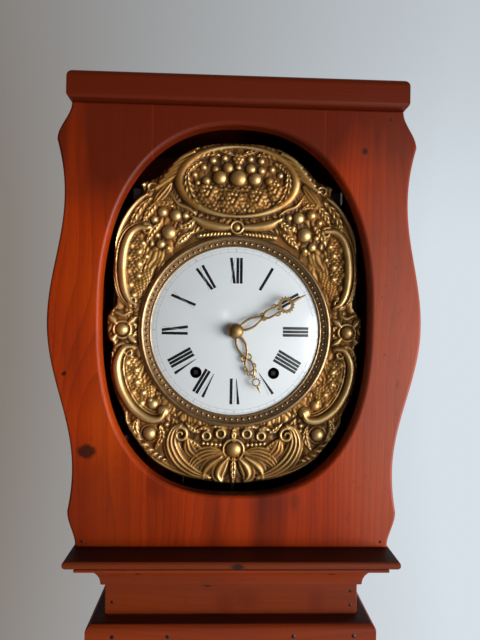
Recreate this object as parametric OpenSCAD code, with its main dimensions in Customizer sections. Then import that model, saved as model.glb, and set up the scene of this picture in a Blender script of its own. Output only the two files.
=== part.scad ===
// Comtoise long-case clock: pine case, pressed brass surround, enamel dial and a two-train weight movement.
// Millimetres, Z up from the floor, the front faces -Y and X runs to the right as seen from the front.

/* [Case] */
// Height from the floor to the top of the head
case_h = 2250; // [2150:5:2350]
// Depth from the shelf lip to the back
case_d = 280; // [270:2:330]
// Thickness of the front boards
front_t = 20; // [16:1:22]
// Thickness of the side boards
side_t = 18; // [14:1:22]
// Thickness of the back boards
back_t = 10; // [8:1:14]

/* [Hood] */
// Width of the hood front at its belly
belly_w = 485; // [460:1:510]
// Width of the hood front at its foot
foot_w = 402; // [395:1:415]
// Width of the box behind the hood front
hood_box_w = 400; // [392:1:404]
// Width of the oval mouth
mouth_w = 351; // [345:1:360]
// Height of the oval mouth
mouth_h = 480; // [455:1:490]
// Height of the mouth's middle above the dial centre
mouth_up = 28; // [20:1:40]
// Radius on the edge of the mouth
mouth_r = 9; // [4:0.5:14]
// Height of the wood above the mouth
head_rail = 24; // [18:1:36]
// Thickness of the top board
top_t = 38; // [30:1:44]
// Overhang of the top board past the hood front
top_over = 12; // [6:1:20]
// Depth of the shelf below the dial centre
shelf_below = 278.5; // [270:0.5:290]

/* [Trunk and base] */
// Width of the neck and trunk
trunk_w = 320; // [310:2:340]
// Radius of the cove under the shelf
cove_r = 27; // [22:1:42]
// Height of the collar around the trunk
collar_h = 40; // [30:1:50]
// Projection of the collar from the trunk
collar_out = 18.5; // [10:0.5:22]
// Width of the door opening
door_w = 230; // [200:2:250]
// Height of the frame's rail above the door
rail_head = 40; // [25:1:60]
// Height of the frame's rail below the door
rail_foot = 20; // [10:1:40]
// Thickness of the door
door_t = 18; // [14:1:20]
// Height of the base box
base_h = 420; // [380:5:440]
// Width of the base box
base_w = 370; // [358:2:380]
// Height of the plinth
plinth_h = 90; // [70:2:110]

/* [Dial] */
// Diameter of the enamel dial
dial_d = 236; // [232:1:238]
// Rise of the dial's dome
dial_rise = 12; // [8:0.5:12.5]
// Outer diameter of the bezel
bezel_d = 259; // [254:1:264]
// Width of the brass surround
surround_w = 342; // [336:1:350]
// Height of the brass surround
surround_h = 457; // [445:1:465]
// Length of the minute hand
minute_len = 106; // [98:1:110]
// Length of the hour hand
hour_len = 88; // [82:1:92]
// Minute shown
minute_at = 10; // [0:1:59]
// Hour shown
hour_at = 5; // [0:1:11]

/* [Movement] */
// Distance of a winding square beside the dial centre
wind_x = 52; // [52:0.2:53]
// Distance of a winding square below the dial centre
wind_z = 56; // [55:0.2:57]
// Radius of the barrel core
barrel_r = 20; // [16:0.5:23]
// Radius of the bell
bell_r = 60; // [50:1:66]
// Length of the pendulum to the middle of its bob
pendulum_len = 994; // [960:1:1000]
// Diameter of the pendulum bob
bob_d = 160; // [130:2:166]
// Diameter of a weight
weight_d = 88; // [70:2:94]
// Height of a weight
weight_h = 190; // [150:2:210]
// Height of a run-down weight's foot above the floor
weight_low = 500; // [470:5:520]

/* [Hidden] */
$fn = 64;

run_fit = 0.05;
move_gap = 0.4;
sink = 1;

// planes of the case
dial_h = case_h - top_t - head_rail - mouth_h / 2 - mouth_up;
y_lip = -case_d / 2;
y_back = case_d / 2;
y_in_back = y_back - back_t;
shelf_out = 43;
shelf_t = 10;
lip_over = 2;
lip_side = 13.5;
cove_land = 5;
cove_fillet = 4;
y_face = y_lip + shelf_out;
y_hood_in = y_face + front_t;
y_trunk = y_lip + lip_over + cove_r + cove_land;
y_trunk_in = y_trunk + front_t;
z_hood_top = case_h - top_t;
z_shelf = dial_h - shelf_below;
z_cove_top = z_shelf - shelf_t;
z_cove_foot = z_cove_top - cove_fillet - cove_r;
frieze_h = 39;
z_collar = z_cove_foot - frieze_h;
trunk_x = trunk_w / 2;
trunk_in_x = trunk_x - side_t;
shelf_x = trunk_x + cove_land + cove_r + lip_side;
hood_x = hood_box_w / 2;

// outline of the hood front: heights from the dial centre and half widths
cusp_low_z = -232.5;
waist_low_z = -182;
belly_z = 10;
waist_high_z = 171;
cusp_high_z = 243;
cusp_low_x = foot_w / 2 + 11;
waist_low_x = foot_w / 2 + 6;
waist_high_x = belly_w / 2 - 19.5;
cusp_high_x = belly_w / 2 - 9;
head_x = belly_w / 2 - 27;
wave_n = 16;

// base
base_x = base_w / 2;
base_step = 2;
y_base = y_trunk - base_step - front_t;
base_mould_h = 30;
base_mould_lip = 5;
plinth_t = 12;
floor_t = 18;
floor_z = 60;

// door
door_gap = 2;
z_door = base_h + base_mould_h + rail_foot;
door_h = z_collar - collar_h - rail_head - z_door;
hang_z = -12;
window_z = dial_h + hang_z - pendulum_len;
window_rx = 62;
window_rz = 92;
glass_t = 3;
ring_t = 9;
hinge_r = 4;
pin_r = 2;
hinge_len = 60;
hinge_leaf = 24;
hinge_t = 2;
hinge_x = -(door_w - door_gap) / 2;
hinge_y = y_trunk - hinge_r - move_gap;
hinge_in = 150;
hinge_at = [z_door + hinge_in, z_door + door_h - hinge_in];
knob_in = 24;
knob_up = 545;
knob_x = door_w / 2 - knob_in;
knob_z = z_door + knob_up;
spindle_r = 3;

// dial and surround planes
y_plate = -60;
plate_t = 2;
y_sur = y_plate - plate_t;
sheet_t = 2.5;
y_relief = y_sur - sheet_t;
dial_t = 2;
dial_r = dial_d / 2;
dome_r = (dial_r * dial_r + dial_rise * dial_rise) / (2 * dial_rise);
dial_up = 22.5;
sur_x = surround_w / 171 / 2;
sur_z = surround_h / 457;
wind_hole_r = 7.75;
centre_hole_r = 5.6;
bezel_r = bezel_d / 2;
hour_y = -79.5;
minute_y = -83.6;
hand_t = 1.1;
boss_r = 10.4;
boss_h = 8;

// movement frame
cage_x = 115;
cage_z0 = -120;
cage_z1 = 100;
cage_y0 = -36;
cage_y1 = 100;
cage_t = 4;
pillar = 8;
bar_t = 4;
rear_bar_y = 92;
seat_t = 20;
seat_over = 10;
foot_in = 15;
foot_r = 4;
bar_side = 10;
mid_bar_in = 14;
mid_bar_out = 8.5;
strike_bar_out = 13.3;
hammer_arm_out = 6;
hammer_arm_h = 7;
stud_r = 2;
cannon_r = 3.4;
pipe_r = 5;
bell_up = 15;
bell_t = 3;
bell_stem_r = 3;
post_r = 5;

// going train: teeth, modules and the places of the arbors
function meet(p, q, rp, rq) =
    let (d = norm(q - p), a = (rp * rp - rq * rq + d * d) / (2 * d), h = sqrt(rp * rp - a * a), u = (q - p) / d)
    p + u * a + [-u[1], u[0]] * h;
function heading(p, q) = atan2(q[1] - p[1], q[0] - p[0]);
function pitch(n, k, m) = (n + k) * m / 2;
great_m = 1.05;
great_n = 96;
great_p = 12;
motion_m = 0.75;
second_n = 45;
cannon_n = 15;
hour_p = 12;
hour_n = 48;
fine_m = 0.5;
third_n = 120;
fourth_n = 96;
fine_p = 8;
pin_m = 0.6;
pin_n = 72;
escape_n = 30;
escape_r = 21;
centre = [0, 0];
going_at = [wind_x, -wind_z];
strike_at = [-wind_x, -wind_z];
escape_z = 18;
escape_at = [0, escape_z];
anchor_at = [0, hang_z];
second_at = meet(centre, going_at, pitch(second_n, cannon_n, motion_m), pitch(great_n, great_p, great_m));
third_at = meet(escape_at, second_at, pitch(fourth_n, fine_p, fine_m), pitch(third_n, fine_p, fine_m));
pin_x = 66.7;
pin_at = [-pin_x, strike_at[1] + sqrt(pow(pitch(great_n, great_p, great_m), 2) - pow(pin_x - wind_x, 2))];
fly_at = pin_at + [0, pitch(pin_n, fine_p, pin_m)];
hammer_x = 98;
hammer_z = -5;
hammer_at = [-hammer_x, hammer_z];
arbor_r = 2;
thin_r = 1.2;
barrel_arbor_r = 4;
lane_great = [-30, -25];
lane_escape = [-21, -18];
lane_fourth = [-14, -11];
lane_third = [66, 69];
lane_motion = [-51, -48];
lane_hour = [-56, -53];
drum = [-22, 60];
flange_r = barrel_r + 8;
flange_t = 3;

// pendulum, weights and lines
y_rod = [-45, -42];
rod_x = 2.5;
bob_t = 32;
y_bob = (y_rod[0] + y_rod[1]) / 2;
line_r = 1;
line_x = wind_x + barrel_r + line_r;
line_y = 30;
weight_top = weight_low + weight_h;
eye_r = 8;
stem_h = 15;
hook_h = stem_h + 2 * eye_r + 0.3;
z_line_foot = weight_top + hook_h;
slot = 9;

// plain solids
module box(x0, x1, y0, y1, z0, z1) {
    translate([x0, y0, z0]) cube([x1 - x0, y1 - y0, z1 - z0]);
}

// the same shape on both sides of the middle
module both_sides() {
    children();
    mirror([1, 0, 0]) children();
}

// a drawing in X and Z carried from y1 forward to y0
module front_view(y0, y1) {
    translate([0, y1, 0]) rotate([90, 0, 0]) linear_extrude(y1 - y0) children();
}

// the same, drawn around the dial centre
module dial_view(y0, y1) {
    translate([0, 0, dial_h]) front_view(y0, y1) children();
}

// a turned solid on a front-to-back axis at p, drawn as radius and height toward the front from plane y
module turned(p, y) {
    translate([p[0], y, dial_h + p[1]]) rotate([90, 0, 0]) rotate_extrude() children();
}

// a round bar along Y
module bar_y(p, y0, y1, r) {
    translate([p[0], y1, dial_h + p[1]]) rotate([90, 0, 0]) cylinder(h = y1 - y0, r = r);
}

// a round bar along Z
module bar_z(x, y, z0, z1, r) {
    translate([x, y, z0]) cylinder(h = z1 - z0, r = r);
}

// a rectangle with rounded corners
module round_rect(x0, x1, z0, z1, r) {
    translate([x0 + r, z0]) square([x1 - x0 - 2 * r, z1 - z0]);
    translate([x0, z0 + r]) square([x1 - x0, z1 - z0 - 2 * r]);
    for (x = [x0 + r, x1 - r], z = [z0 + r, z1 - r]) {
        translate([x, z]) circle(r);
    }
}

// an oval, fuller in its lower half
oval_n = 96;
full_top = 2.27;
full_low = 2.6;
function oval_point(a, rx, rz, e) =
    let (c = cos(a), s = sin(a))
    [rx * sign(c) * pow(abs(c), 2 / e), rz * sign(s) * pow(abs(s), 2 / e)];
function oval(rx, rz, top = full_top, low = full_low) = [for (i = [0:oval_n - 1])
    let (a = 360 * i / oval_n)
    oval_point(a, rx, rz, sin(a) < 0 ? low : top)];

// half width of the hood front at a height from the dial centre
function s_curve(t) = (1 - cos(180 * t)) / 2;
function span(x0, x1, z0, z1, way) = [for (i = [0:wave_n - 1])
    let (t = i / wave_n, f = way == 0 ? s_curve(t) : way > 0 ? t * t : 1 - (1 - t) * (1 - t))
    [x0 + (x1 - x0) * f, z0 + (z1 - z0) * t]];
wave_right = concat(
    span(foot_w / 2, cusp_low_x, -shelf_below, cusp_low_z, 0),
    span(cusp_low_x, waist_low_x, cusp_low_z, waist_low_z, -1),
    span(waist_low_x, belly_w / 2, waist_low_z, belly_z, 0),
    span(belly_w / 2, waist_high_x, belly_z, waist_high_z, 0),
    span(waist_high_x, cusp_high_x, waist_high_z, cusp_high_z, 1),
    span(cusp_high_x, head_x, cusp_high_z, z_hood_top - dial_h, 0),
    [[head_x, z_hood_top - dial_h]]);
wave_outline = concat(wave_right, [for (i = [len(wave_right) - 1:-1:0]) [-wave_right[i][0], wave_right[i][1]]]);

// the mouth with its rounded front edge, as a plug that widens toward the front
edge_n = 5;
edge_over = 1;
function mouth_ring(grow, y) = [for (p = oval(mouth_w / 2 + grow, mouth_h / 2 + grow)) [p[0], y, p[1]]];
mouth_steps = concat([[mouth_r, y_face - edge_over]],
    [for (j = [0:edge_n]) let (a = 90 * j / edge_n) [mouth_r * (1 - sin(a)), y_face + mouth_r * (1 - cos(a))]],
    [[0, y_hood_in + edge_over]]);
module mouth_plug() {
    rows = len(mouth_steps);
    points = [for (s = mouth_steps) each mouth_ring(s[0], s[1])];
    front_face = [for (i = [oval_n - 1:-1:0]) i];
    back_face = [for (i = [0:oval_n - 1]) (rows - 1) * oval_n + i];
    walls = [for (j = [0:rows - 2]) for (i = [0:oval_n - 1]) let (k = (i + 1) % oval_n)
        each [[j * oval_n + i, j * oval_n + k, (j + 1) * oval_n + i],
              [(j + 1) * oval_n + i, j * oval_n + k, (j + 1) * oval_n + k]]];
    polyhedron(points, concat([front_face, back_face], walls));
}

// teeth
function teeth(n, m, root, tip, ded) = [for (i = [0:n - 1]) for (k = [0:3])
    let (high = k == 1 || k == 2, rad = n * m / 2 + (high ? 0.75 * m : -ded * m), off = (high ? tip : root) * (k < 2 ? -1 : 1))
    [rad * cos(360 / n * (i + off)), rad * sin(360 / n * (i + off))]];
module wheel_teeth(n, m) {
    polygon(teeth(n, m, 0.23, 0.09, 1.25));
}
module pinion_teeth(n, m) {
    polygon(teeth(n, m, 0.22, 0.10, 1.2));
}

// a toothed wheel with four arms, tooth on the heading given
module wheel(p, lane, n, m, turn, hub, bore) {
    rim = n * m / 2 - 1.25 * m - max(3, 3 * m);
    dial_view(lane[0], lane[1]) translate(p) difference() {
        union() {
            difference() {
                rotate(turn) wheel_teeth(n, m);
                circle(rim);
            }
            square([2 * rim + 1, hub], center = true);
            square([hub, 2 * rim + 1], center = true);
            circle(hub);
        }
        circle(bore);
    }
}

// a solid pinion on its arbor, with a gap on the heading given
module pinion(p, lane, n, m, turn) {
    dial_view(lane[0] - 1, lane[1] + 1) translate(p) rotate(turn + 180 / n) pinion_teeth(n, m);
}

// colours as the photograph shows them
pine = [0.60, 0.22, 0.10];
moulding = [0.52, 0.27, 0.19];
brass = [0.62, 0.50, 0.28];
iron = [0.24, 0.23, 0.22];
steel = [0.55, 0.55, 0.54];
enamel = [0.87, 0.88, 0.88];
gilt = [0.74, 0.62, 0.34];

module hood_front_board() color(pine) {
    difference() {
        dial_view(y_face, y_hood_in) polygon(wave_outline);
        translate([0, 0, dial_h + mouth_up]) mouth_plug();
    }
}

module hood_top_board() color(pine) {
    edge = 9;
    top_side = 4;
    intersection() {
        front_view(y_face - top_over, y_back)
            round_rect(-head_x - top_side, head_x + top_side, z_hood_top, case_h, edge);
        rotate([90, 0, 90]) translate([0, 0, -head_x - 5]) linear_extrude(2 * head_x + 10)
            round_rect(y_face - top_over, y_back, z_hood_top, case_h, edge);
    }
}

module hood_sides() color(pine) {
    both_sides() box(hood_x - side_t, hood_x, y_hood_in, y_in_back, z_shelf, z_hood_top);
}

module hood_back_board() color(pine) {
    box(-hood_x, hood_x, y_in_back, y_back, z_shelf, z_hood_top);
}

module hood_shelf() color(pine) {
    nose = shelf_t / 2;
    difference() {
        intersection() {
            front_view(y_lip, y_back) round_rect(-shelf_x, shelf_x, z_cove_top, z_shelf, nose - 0.5);
            rotate([90, 0, 90]) translate([0, 0, -shelf_x - 1]) linear_extrude(2 * shelf_x + 2)
                union() {
                    round_rect(y_lip, 0, z_cove_top, z_shelf, nose - 0.5);
                    translate([-10, z_cove_top]) square([y_back + 10, shelf_t]);
                }
        }
        box(-trunk_x, trunk_x, y_hood_in + 4, y_in_back, z_cove_top - 1, z_shelf + 1);
    }
}

module cove_moulding() color(moulding) {
    y_out = y_lip + lip_over;
    x_out = shelf_x - lip_side;
    difference() {
        box(-x_out, x_out, y_out, y_back, z_cove_foot, z_cove_top);
        box(-trunk_x, trunk_x, y_trunk, y_back + 1, z_cove_foot - 1, z_cove_top + 1);
        translate([-x_out - 1, y_out, z_cove_foot]) rotate([0, 90, 0]) cylinder(h = 2 * x_out + 2, r = cove_r);
        both_sides() translate([x_out, y_back + 1, z_cove_foot]) rotate([90, 0, 0])
            cylinder(h = y_back - y_out + 2, r = cove_r);
    }
}

module neck_front_board() color(moulding) {
    box(-trunk_x, trunk_x, y_trunk, y_trunk_in, z_collar, z_cove_top);
}

// a rounded collar along three sides of the trunk
module trunk_collar() color(moulding) {
    x_out = trunk_x + collar_out;
    y_out = y_trunk - collar_out - 7;
    edge = collar_h * 0.24;
    difference() {
        intersection() {
            front_view(y_out, y_back) round_rect(-x_out, x_out, z_collar - collar_h, z_collar, edge);
            rotate([90, 0, 90]) translate([0, 0, -x_out - 1]) linear_extrude(2 * x_out + 2) union() {
                round_rect(y_out, 0, z_collar - collar_h, z_collar, edge);
                translate([-40, z_collar - collar_h]) square([y_back + 40, collar_h]);
            }
        }
        box(-trunk_x, trunk_x, y_trunk, y_back + 1, z_collar - collar_h - 1, z_collar + 1);
    }
}

module trunk_sides() color(pine) {
    both_sides() union() {
        box(trunk_in_x, trunk_x, y_trunk_in, y_in_back, floor_z + floor_t, z_cove_top);
        box(trunk_in_x, trunk_x, y_hood_in + 4, y_in_back, z_cove_top - sink, dial_h + cage_z0 - seat_t);
    }
}

module trunk_back_board() color(pine) {
    union() {
        box(-trunk_x, trunk_x, y_in_back, y_back, base_h - sink, z_cove_top);
        box(-base_x, base_x, y_in_back, y_back, 0, base_h);
    }
}

module trunk_front_frame() color(pine) {
    difference() {
        box(-trunk_x, trunk_x, y_trunk, y_trunk_in, base_h - 30, z_collar);
        box(-door_w / 2, door_w / 2, y_trunk - 1, y_trunk_in + 1, z_door, z_door + door_h);
    }
}

module base_moulding() color(moulding) {
    x_out = base_x + base_mould_lip;
    y_out = y_base - base_mould_lip;
    r = base_mould_h - 8;
    difference() {
        box(-x_out, x_out, y_out, y_back, base_h, base_h + base_mould_h);
        box(-trunk_x, trunk_x, y_trunk, y_back + 1, base_h - 1, base_h + base_mould_h + 1);
        translate([-x_out - 1, y_out, base_h + base_mould_h]) rotate([0, 90, 0]) cylinder(h = 2 * x_out + 2, r = r);
        both_sides() translate([x_out, y_back + 1, base_h + base_mould_h]) rotate([90, 0, 0])
            cylinder(h = y_back - y_out + 2, r = r);
    }
}

module base_front_panel() color(pine) {
    box(-base_x, base_x, y_base, y_base + front_t, floor_z, base_h);
}

module base_sides() color(pine) {
    both_sides() box(base_x - side_t, base_x, y_base + front_t, y_in_back, floor_z, base_h);
}

module base_floor() color(pine) {
    box(-base_x + side_t, base_x - side_t, y_base + front_t, y_in_back, floor_z, floor_z + floor_t);
}

module plinth() color(moulding) {
    x_out = base_x + plinth_t;
    y_out = max(y_base - plinth_t, y_lip);
    arch_w = 2 * base_x - 130;
    arch_h = 34;
    difference() {
        union() {
            box(-x_out, x_out, y_out, y_back, 0, plinth_h - 10);
            box(-x_out + 5, x_out - 5, y_out + 5, y_back, 0, plinth_h);
        }
        box(-base_x, base_x, y_base, y_back + 1, floor_z, plinth_h + 1);
        box(-base_x + side_t, base_x - side_t, y_base + front_t, y_in_back, -1, floor_z + 1);
        box(-base_x, base_x, y_in_back, y_back + 1, -1, floor_z + 1);
        front_view(y_out - 1, y_base + front_t + 1) round_rect(-arch_w / 2, arch_w / 2, -arch_h, arch_h, 20);
    }
}

module seat_board() color(pine) {
    z0 = dial_h + cage_z0 - seat_t;
    difference() {
        box(-trunk_x, trunk_x, cage_y0 + 1, cage_y1 + seat_over, z0, z0 + seat_t);
        both_sides() box(line_x - slot, line_x + slot, line_y - slot, line_y + slot, z0 - 1, z0 + seat_t + 1);
    }
}

// butt hinges: the leaf on the frame carries two outer knuckles and the pin
module knuckle(z0, z1, bore) {
    difference() {
        bar_z(hinge_x, hinge_y, z0, z1, hinge_r);
        if (bore > 0) {
            bar_z(hinge_x, hinge_y, z0 - 1, z1 + 1, bore);
        }
    }
}
module frame_hinge_leaves() color(brass) {
    third = hinge_len / 3;
    for (z = hinge_at) {
        z0 = z - hinge_len / 2;
        union() {
            box(hinge_x - hinge_leaf, hinge_x - hinge_r - 1, y_trunk - hinge_t, y_trunk, z0, z0 + hinge_len);
            for (k = [0, 2]) {
                box(hinge_x - hinge_r - 2, hinge_x - 2, y_trunk - hinge_t, y_trunk - move_gap, z0 + k * third, z0 + (k + 1) * third);
                knuckle(z0 + k * third, z0 + (k + 1) * third, 0);
            }
            bar_z(hinge_x, hinge_y, z0 + third - 1, z0 + 2 * third + 1, pin_r);
        }
    }
}
module door_hinge_leaves() color(brass) {
    third = hinge_len / 3;
    for (z = hinge_at) {
        z0 = z - hinge_len / 2;
        z1 = z0 + third + move_gap;
        z2 = z0 + 2 * third - move_gap;
        difference() {
            union() {
                box(hinge_x + hinge_r + 1, hinge_x + hinge_leaf, y_trunk - hinge_t, y_trunk, z0, z0 + hinge_len);
                box(hinge_x + 2, hinge_x + hinge_r + 2, y_trunk - hinge_t, y_trunk - move_gap, z1, z2);
                bar_z(hinge_x, hinge_y, z1, z2, hinge_r);
            }
            bar_z(hinge_x, hinge_y, z1 - 1, z2 + 1, pin_r + run_fit);
        }
    }
}

module trunk_door() color(pine) {
    w = door_w / 2 - door_gap;
    difference() {
        box(-w, w, y_trunk, y_trunk + door_t, z_door + door_gap, z_door + door_h - door_gap);
        translate([0, 0, window_z]) front_view(y_trunk - 1, y_trunk + door_t + 1) polygon(oval(window_rx, window_rz, 2, 2));
        translate([knob_x, y_trunk + door_t + 1, knob_z]) rotate([90, 0, 0]) cylinder(h = door_t + 2, r = spindle_r + run_fit);
    }
}

module door_glass() color([0.75, 0.82, 0.82, 0.4]) {
    translate([0, 0, window_z]) front_view(y_trunk + 8, y_trunk + 8 + glass_t) polygon(oval(window_rx, window_rz, 2, 2));
}

module glass_bezel() color(brass) {
    translate([0, 0, window_z]) union() {
        front_view(y_trunk - 3, y_trunk) difference() {
            polygon(oval(window_rx + ring_t, window_rz + ring_t, 2, 2));
            polygon(oval(window_rx - 3, window_rz - 3, 2, 2));
        }
        front_view(y_trunk - sink, y_trunk + 8) difference() {
            polygon(oval(window_rx, window_rz, 2, 2));
            polygon(oval(window_rx - 3, window_rz - 3, 2, 2));
        }
    }
}

module door_knob() color(brass) {
    translate([knob_x, y_trunk, knob_z]) rotate([90, 0, 0]) union() {
        translate([0, 0, -door_t - 8]) cylinder(h = door_t + 20, r = spindle_r);
        rotate_extrude() union() {
            translate([0, move_gap]) square([9, 2]);
            translate([0, 1]) square([4.5, 12]);
            intersection() {
                translate([0, 17]) circle(9);
                translate([0, 10]) square([10, 14]);
            }
        }
    }
}

module latch_tongue() color(iron) {
    y0 = y_trunk + door_t + 3;
    difference() {
        box(knob_x - 6, knob_x + 6, y0, y0 + 3, knob_z - 8, knob_z + 38);
        translate([knob_x, y0 + 4, knob_z]) rotate([90, 0, 0]) cylinder(h = 6, r = spindle_r);
    }
}

// sheet iron behind the dial, with four feet to the cage
module dial_plate() color(iron) {
    union() {
        translate([0, 0, dial_h]) difference() {
            front_view(y_sur, y_plate) translate([0, dial_up]) polygon(oval(surround_w / 2 - 6, surround_h / 2 - 6));
            front_view(y_sur - 1, y_plate + 1) circle(pipe_r + 2);
            both_sides() front_view(y_sur - 1, y_plate + 1) translate(going_at) circle(wind_hole_r + 1);
        }
        both_sides() for (z = [cage_z0 + cage_t / 2, cage_z1 - cage_t / 2]) {
            bar_y([cage_x - foot_in, z], y_plate - sink, cage_y0, foot_r);
        }
    }
}

// raised forms of the pressed brass: x and z from the dial centre
module dome(x, z, r, h) {
    ball_r = (r * r + h * h) / (2 * h);
    turned([x * sur_x, z * sur_z], y_relief) intersection() {
        translate([0, h - ball_r]) circle(ball_r);
        translate([0, -sink]) square([r, h + sink]);
    }
}
module scroll(x, z, r, a0, a1, t) {
    translate([x * sur_x, y_relief, (dial_h + z * sur_z)]) rotate([90, 0, 0]) rotate([0, 0, a0])
        rotate_extrude(angle = a1 - a0) translate([r, 0]) intersection() {
            circle(t);
            translate([-t, -sink]) square([2 * t, t + sink]);
        }
}
module ring(x, z, r, t) {
    turned([x * sur_x, z * sur_z], y_relief) translate([r, 0]) intersection() {
        circle(t);
        translate([-t, -sink]) square([2 * t, t + sink]);
    }
}
module raised(h) {
    translate([0, 0, dial_h]) front_view(y_relief - h, y_relief + sink) children();
}
module band(rx0, rz0, rx1, rz1) {
    difference() {
        polygon(oval(rx0, rz0));
        polygon(oval(rx1, rz1));
    }
}

module brass_surround() color(brass) {
    difference() {
        union() {
            dial_view(y_relief, y_sur) translate([0, dial_up]) polygon(oval(surround_w / 2, surround_h / 2));
            raised(3) translate([0, dial_up]) band(surround_w / 2, surround_h / 2, surround_w / 2 - 7, surround_h / 2 - 7);
            raised(6) translate([0, 200 * sur_z]) band(84 * sur_x, 50 * sur_z, 76 * sur_x, 43 * sur_z);
            cartouche_fruit();
            both_sides() half_ornament();
            dome(0, 140, 8.5, 6);
            dome(0, -161, 11, 8);
            for (a = [-150:30:-30]) {
                dome(22 * cos(a), -161 + 22 * sin(a), 9, 4);
            }
        }
        dial_view(y_relief - 20, y_sur + 1) circle(dial_r + 1);
        dial_view(y_relief - 20, y_relief) circle(bezel_r + 0.5);
    }
}
module cartouche_fruit() {
    step = 25;
    for (x = [-2 * step:step:2 * step]) {
        dome(x, 204, 11.5, 9);
    }
    for (x = [-1.5 * step:step:1.5 * step]) {
        dome(x, 181, 10, 7);
    }
    for (x = [-step:step:step]) {
        dome(x, 227, 10, 6);
    }
}
module half_ornament() {
    raised(4) polygon([[12 * sur_x, 136 * sur_z], [55 * sur_x, 140 * sur_z], [55 * sur_x, 147 * sur_z], [12 * sur_x, 144 * sur_z]]);
    dome(87, 130, 9.5, 8);
    dome(79, 153, 8, 7);
    dome(102, 150, 8, 6);
    dome(98, 205, 14, 5);
    dome(112, 180, 13, 5);
    scroll(107, 82, 53, -62, 78, 6);
    dome(121, 137, 8, 6);
    dome(135, 33, 8, 6);
    dome(112, 82, 30, 4);
    ring(150, 0, 13, 4);
    dome(150, 0, 8.5, 8);
    scroll(105, -62, 54, -98, 48, 6);
    dome(144, -20, 8, 6);
    dome(97, -118, 9, 6);
    dome(118, -58, 26, 4);
    dome(112, -139, 8.5, 7);
    scroll(74, -148, 17, -120, 130, 5);
    dome(74, -148, 7, 5);
    dome(40, -185, 10, 4);
}

module bezel() color(brass) {
    turned(centre, y_relief) difference() {
        union() {
            translate([dial_r - 5, 0]) square([bezel_r - dial_r + 5, 3.5]);
            translate([bezel_r - 4, 4]) circle(4);
            translate([dial_r, 4.4]) circle(3);
            translate([bezel_r - 8, 0]) square([4, 5]);
        }
        translate([dial_r - 20, -10]) square([21, 11.4]);
        translate([dial_r - 20, -10]) square([60, 10]);
    }
}

module enamel_dial() color(enamel) {
    difference() {
        turned(centre, y_sur - dial_t) union() {
            intersection() {
                difference() {
                    translate([0, dial_rise - dome_r]) circle(dome_r, $fn = 360);
                    translate([0, dial_rise - dome_r]) circle(dome_r - dial_t, $fn = 360);
                }
                translate([0, -dial_t]) square([dial_r - 1, dial_rise + dial_t]);
            }
            translate([dial_r - 4, -dial_t]) square([4, dial_t]);
        }
        bar_y(centre, y_sur - 30, y_plate, centre_hole_r);
        bar_y(going_at, y_sur - 30, y_plate, wind_hole_r);
        bar_y(strike_at, y_sur - 30, y_plate, wind_hole_r);
    }
}

// an open loop between two heights, as two strands that meet at both ends
module lens(z0, z1, w) {
    r = (pow((z1 - z0) / 2, 2) + w * w) / (2 * w);
    intersection() {
        translate([r - w, (z0 + z1) / 2]) circle(r);
        translate([w - r, (z0 + z1) / 2]) circle(r);
    }
}
module loop(z0, z1, w, t) {
    difference() {
        lens(z0, z1, w);
        lens(z0 + 2.4 * t, z1 - 2.4 * t, w - t);
    }
}
module ray_ring(z, r0, r1, n) {
    difference() {
        polygon([for (i = [0:2 * n - 1]) let (r = i % 2 == 0 ? r0 : r0 - 1.3) [-r * sin(180 * i / n), z + r * cos(180 * i / n)]]);
        translate([0, z]) circle(r1);
    }
}

module hour_hand() color(gilt) {
    k = hour_len / 88;
    dial_view(hour_y, hour_y + hand_t) rotate(-30 * hour_at - minute_at / 2) difference() {
        union() {
            circle(9);
            loop(7, 39 * k, 6.5, 1.7);
            translate([0, 38.5 * k]) circle(3);
            for (s = [-1, 1]) {
                translate([s * 4.6, 41 * k]) difference() {
                    circle(3.2);
                    circle(1.7);
                }
            }
            loop(38 * k, 67 * k, 5.2, 1.7);
            ray_ring(73 * k, 7.6, 4.4, 12);
            polygon([[-2.2, 79 * k], [2.2, 79 * k], [0, 88 * k]]);
        }
        circle(pipe_r);
    }
}

module minute_hand() color(gilt) {
    k = minute_len / 106;
    dial_view(minute_y, minute_y + hand_t) rotate(-6 * minute_at) difference() {
        union() {
            circle(8);
            loop(6, 42 * k, 6, 1.6);
            translate([0, 41 * k]) circle(3.4);
            loop(41 * k, 68 * k, 5.6, 1.6);
            ray_ring(75 * k, 9.8, 6, 16);
            polygon([[-2.4, 83.5 * k], [2.4, 83.5 * k], [0, 106 * k]]);
        }
        circle(cannon_r);
    }
}

module hand_boss() color(gilt) {
    ball_r = (boss_r * boss_r + boss_h * boss_h) / (2 * boss_h);
    turned(centre, minute_y) difference() {
        intersection() {
            translate([0, boss_h - ball_r]) circle(ball_r);
            square([boss_r, boss_h]);
        }
        square([cannon_r, 1.2]);
    }
}

module cage_plates() color(iron) {
    difference() {
        for (z = [cage_z0, cage_z1 - cage_t]) {
            box(-cage_x, cage_x, cage_y0, cage_y1, dial_h + z, dial_h + z + cage_t);
        }
        both_sides() box(line_x - slot, line_x + slot, line_y - slot, line_y + slot, dial_h + cage_z0 - 1, dial_h + cage_z0 + cage_t + 1);
        box(-cage_x - 1, -86, 22, 40, dial_h + cage_z1 - cage_t - 1, dial_h + cage_z1 + 1);
    }
}

module cage_pillars() color(iron) {
    z0 = dial_h + cage_z0 + cage_t;
    z1 = dial_h + cage_z1 - cage_t;
    both_sides() for (y = [cage_y0, cage_y1 - pillar]) {
        box(cage_x - 1 - pillar, cage_x - 1, y, y + pillar, z0, z1);
    }
}

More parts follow.
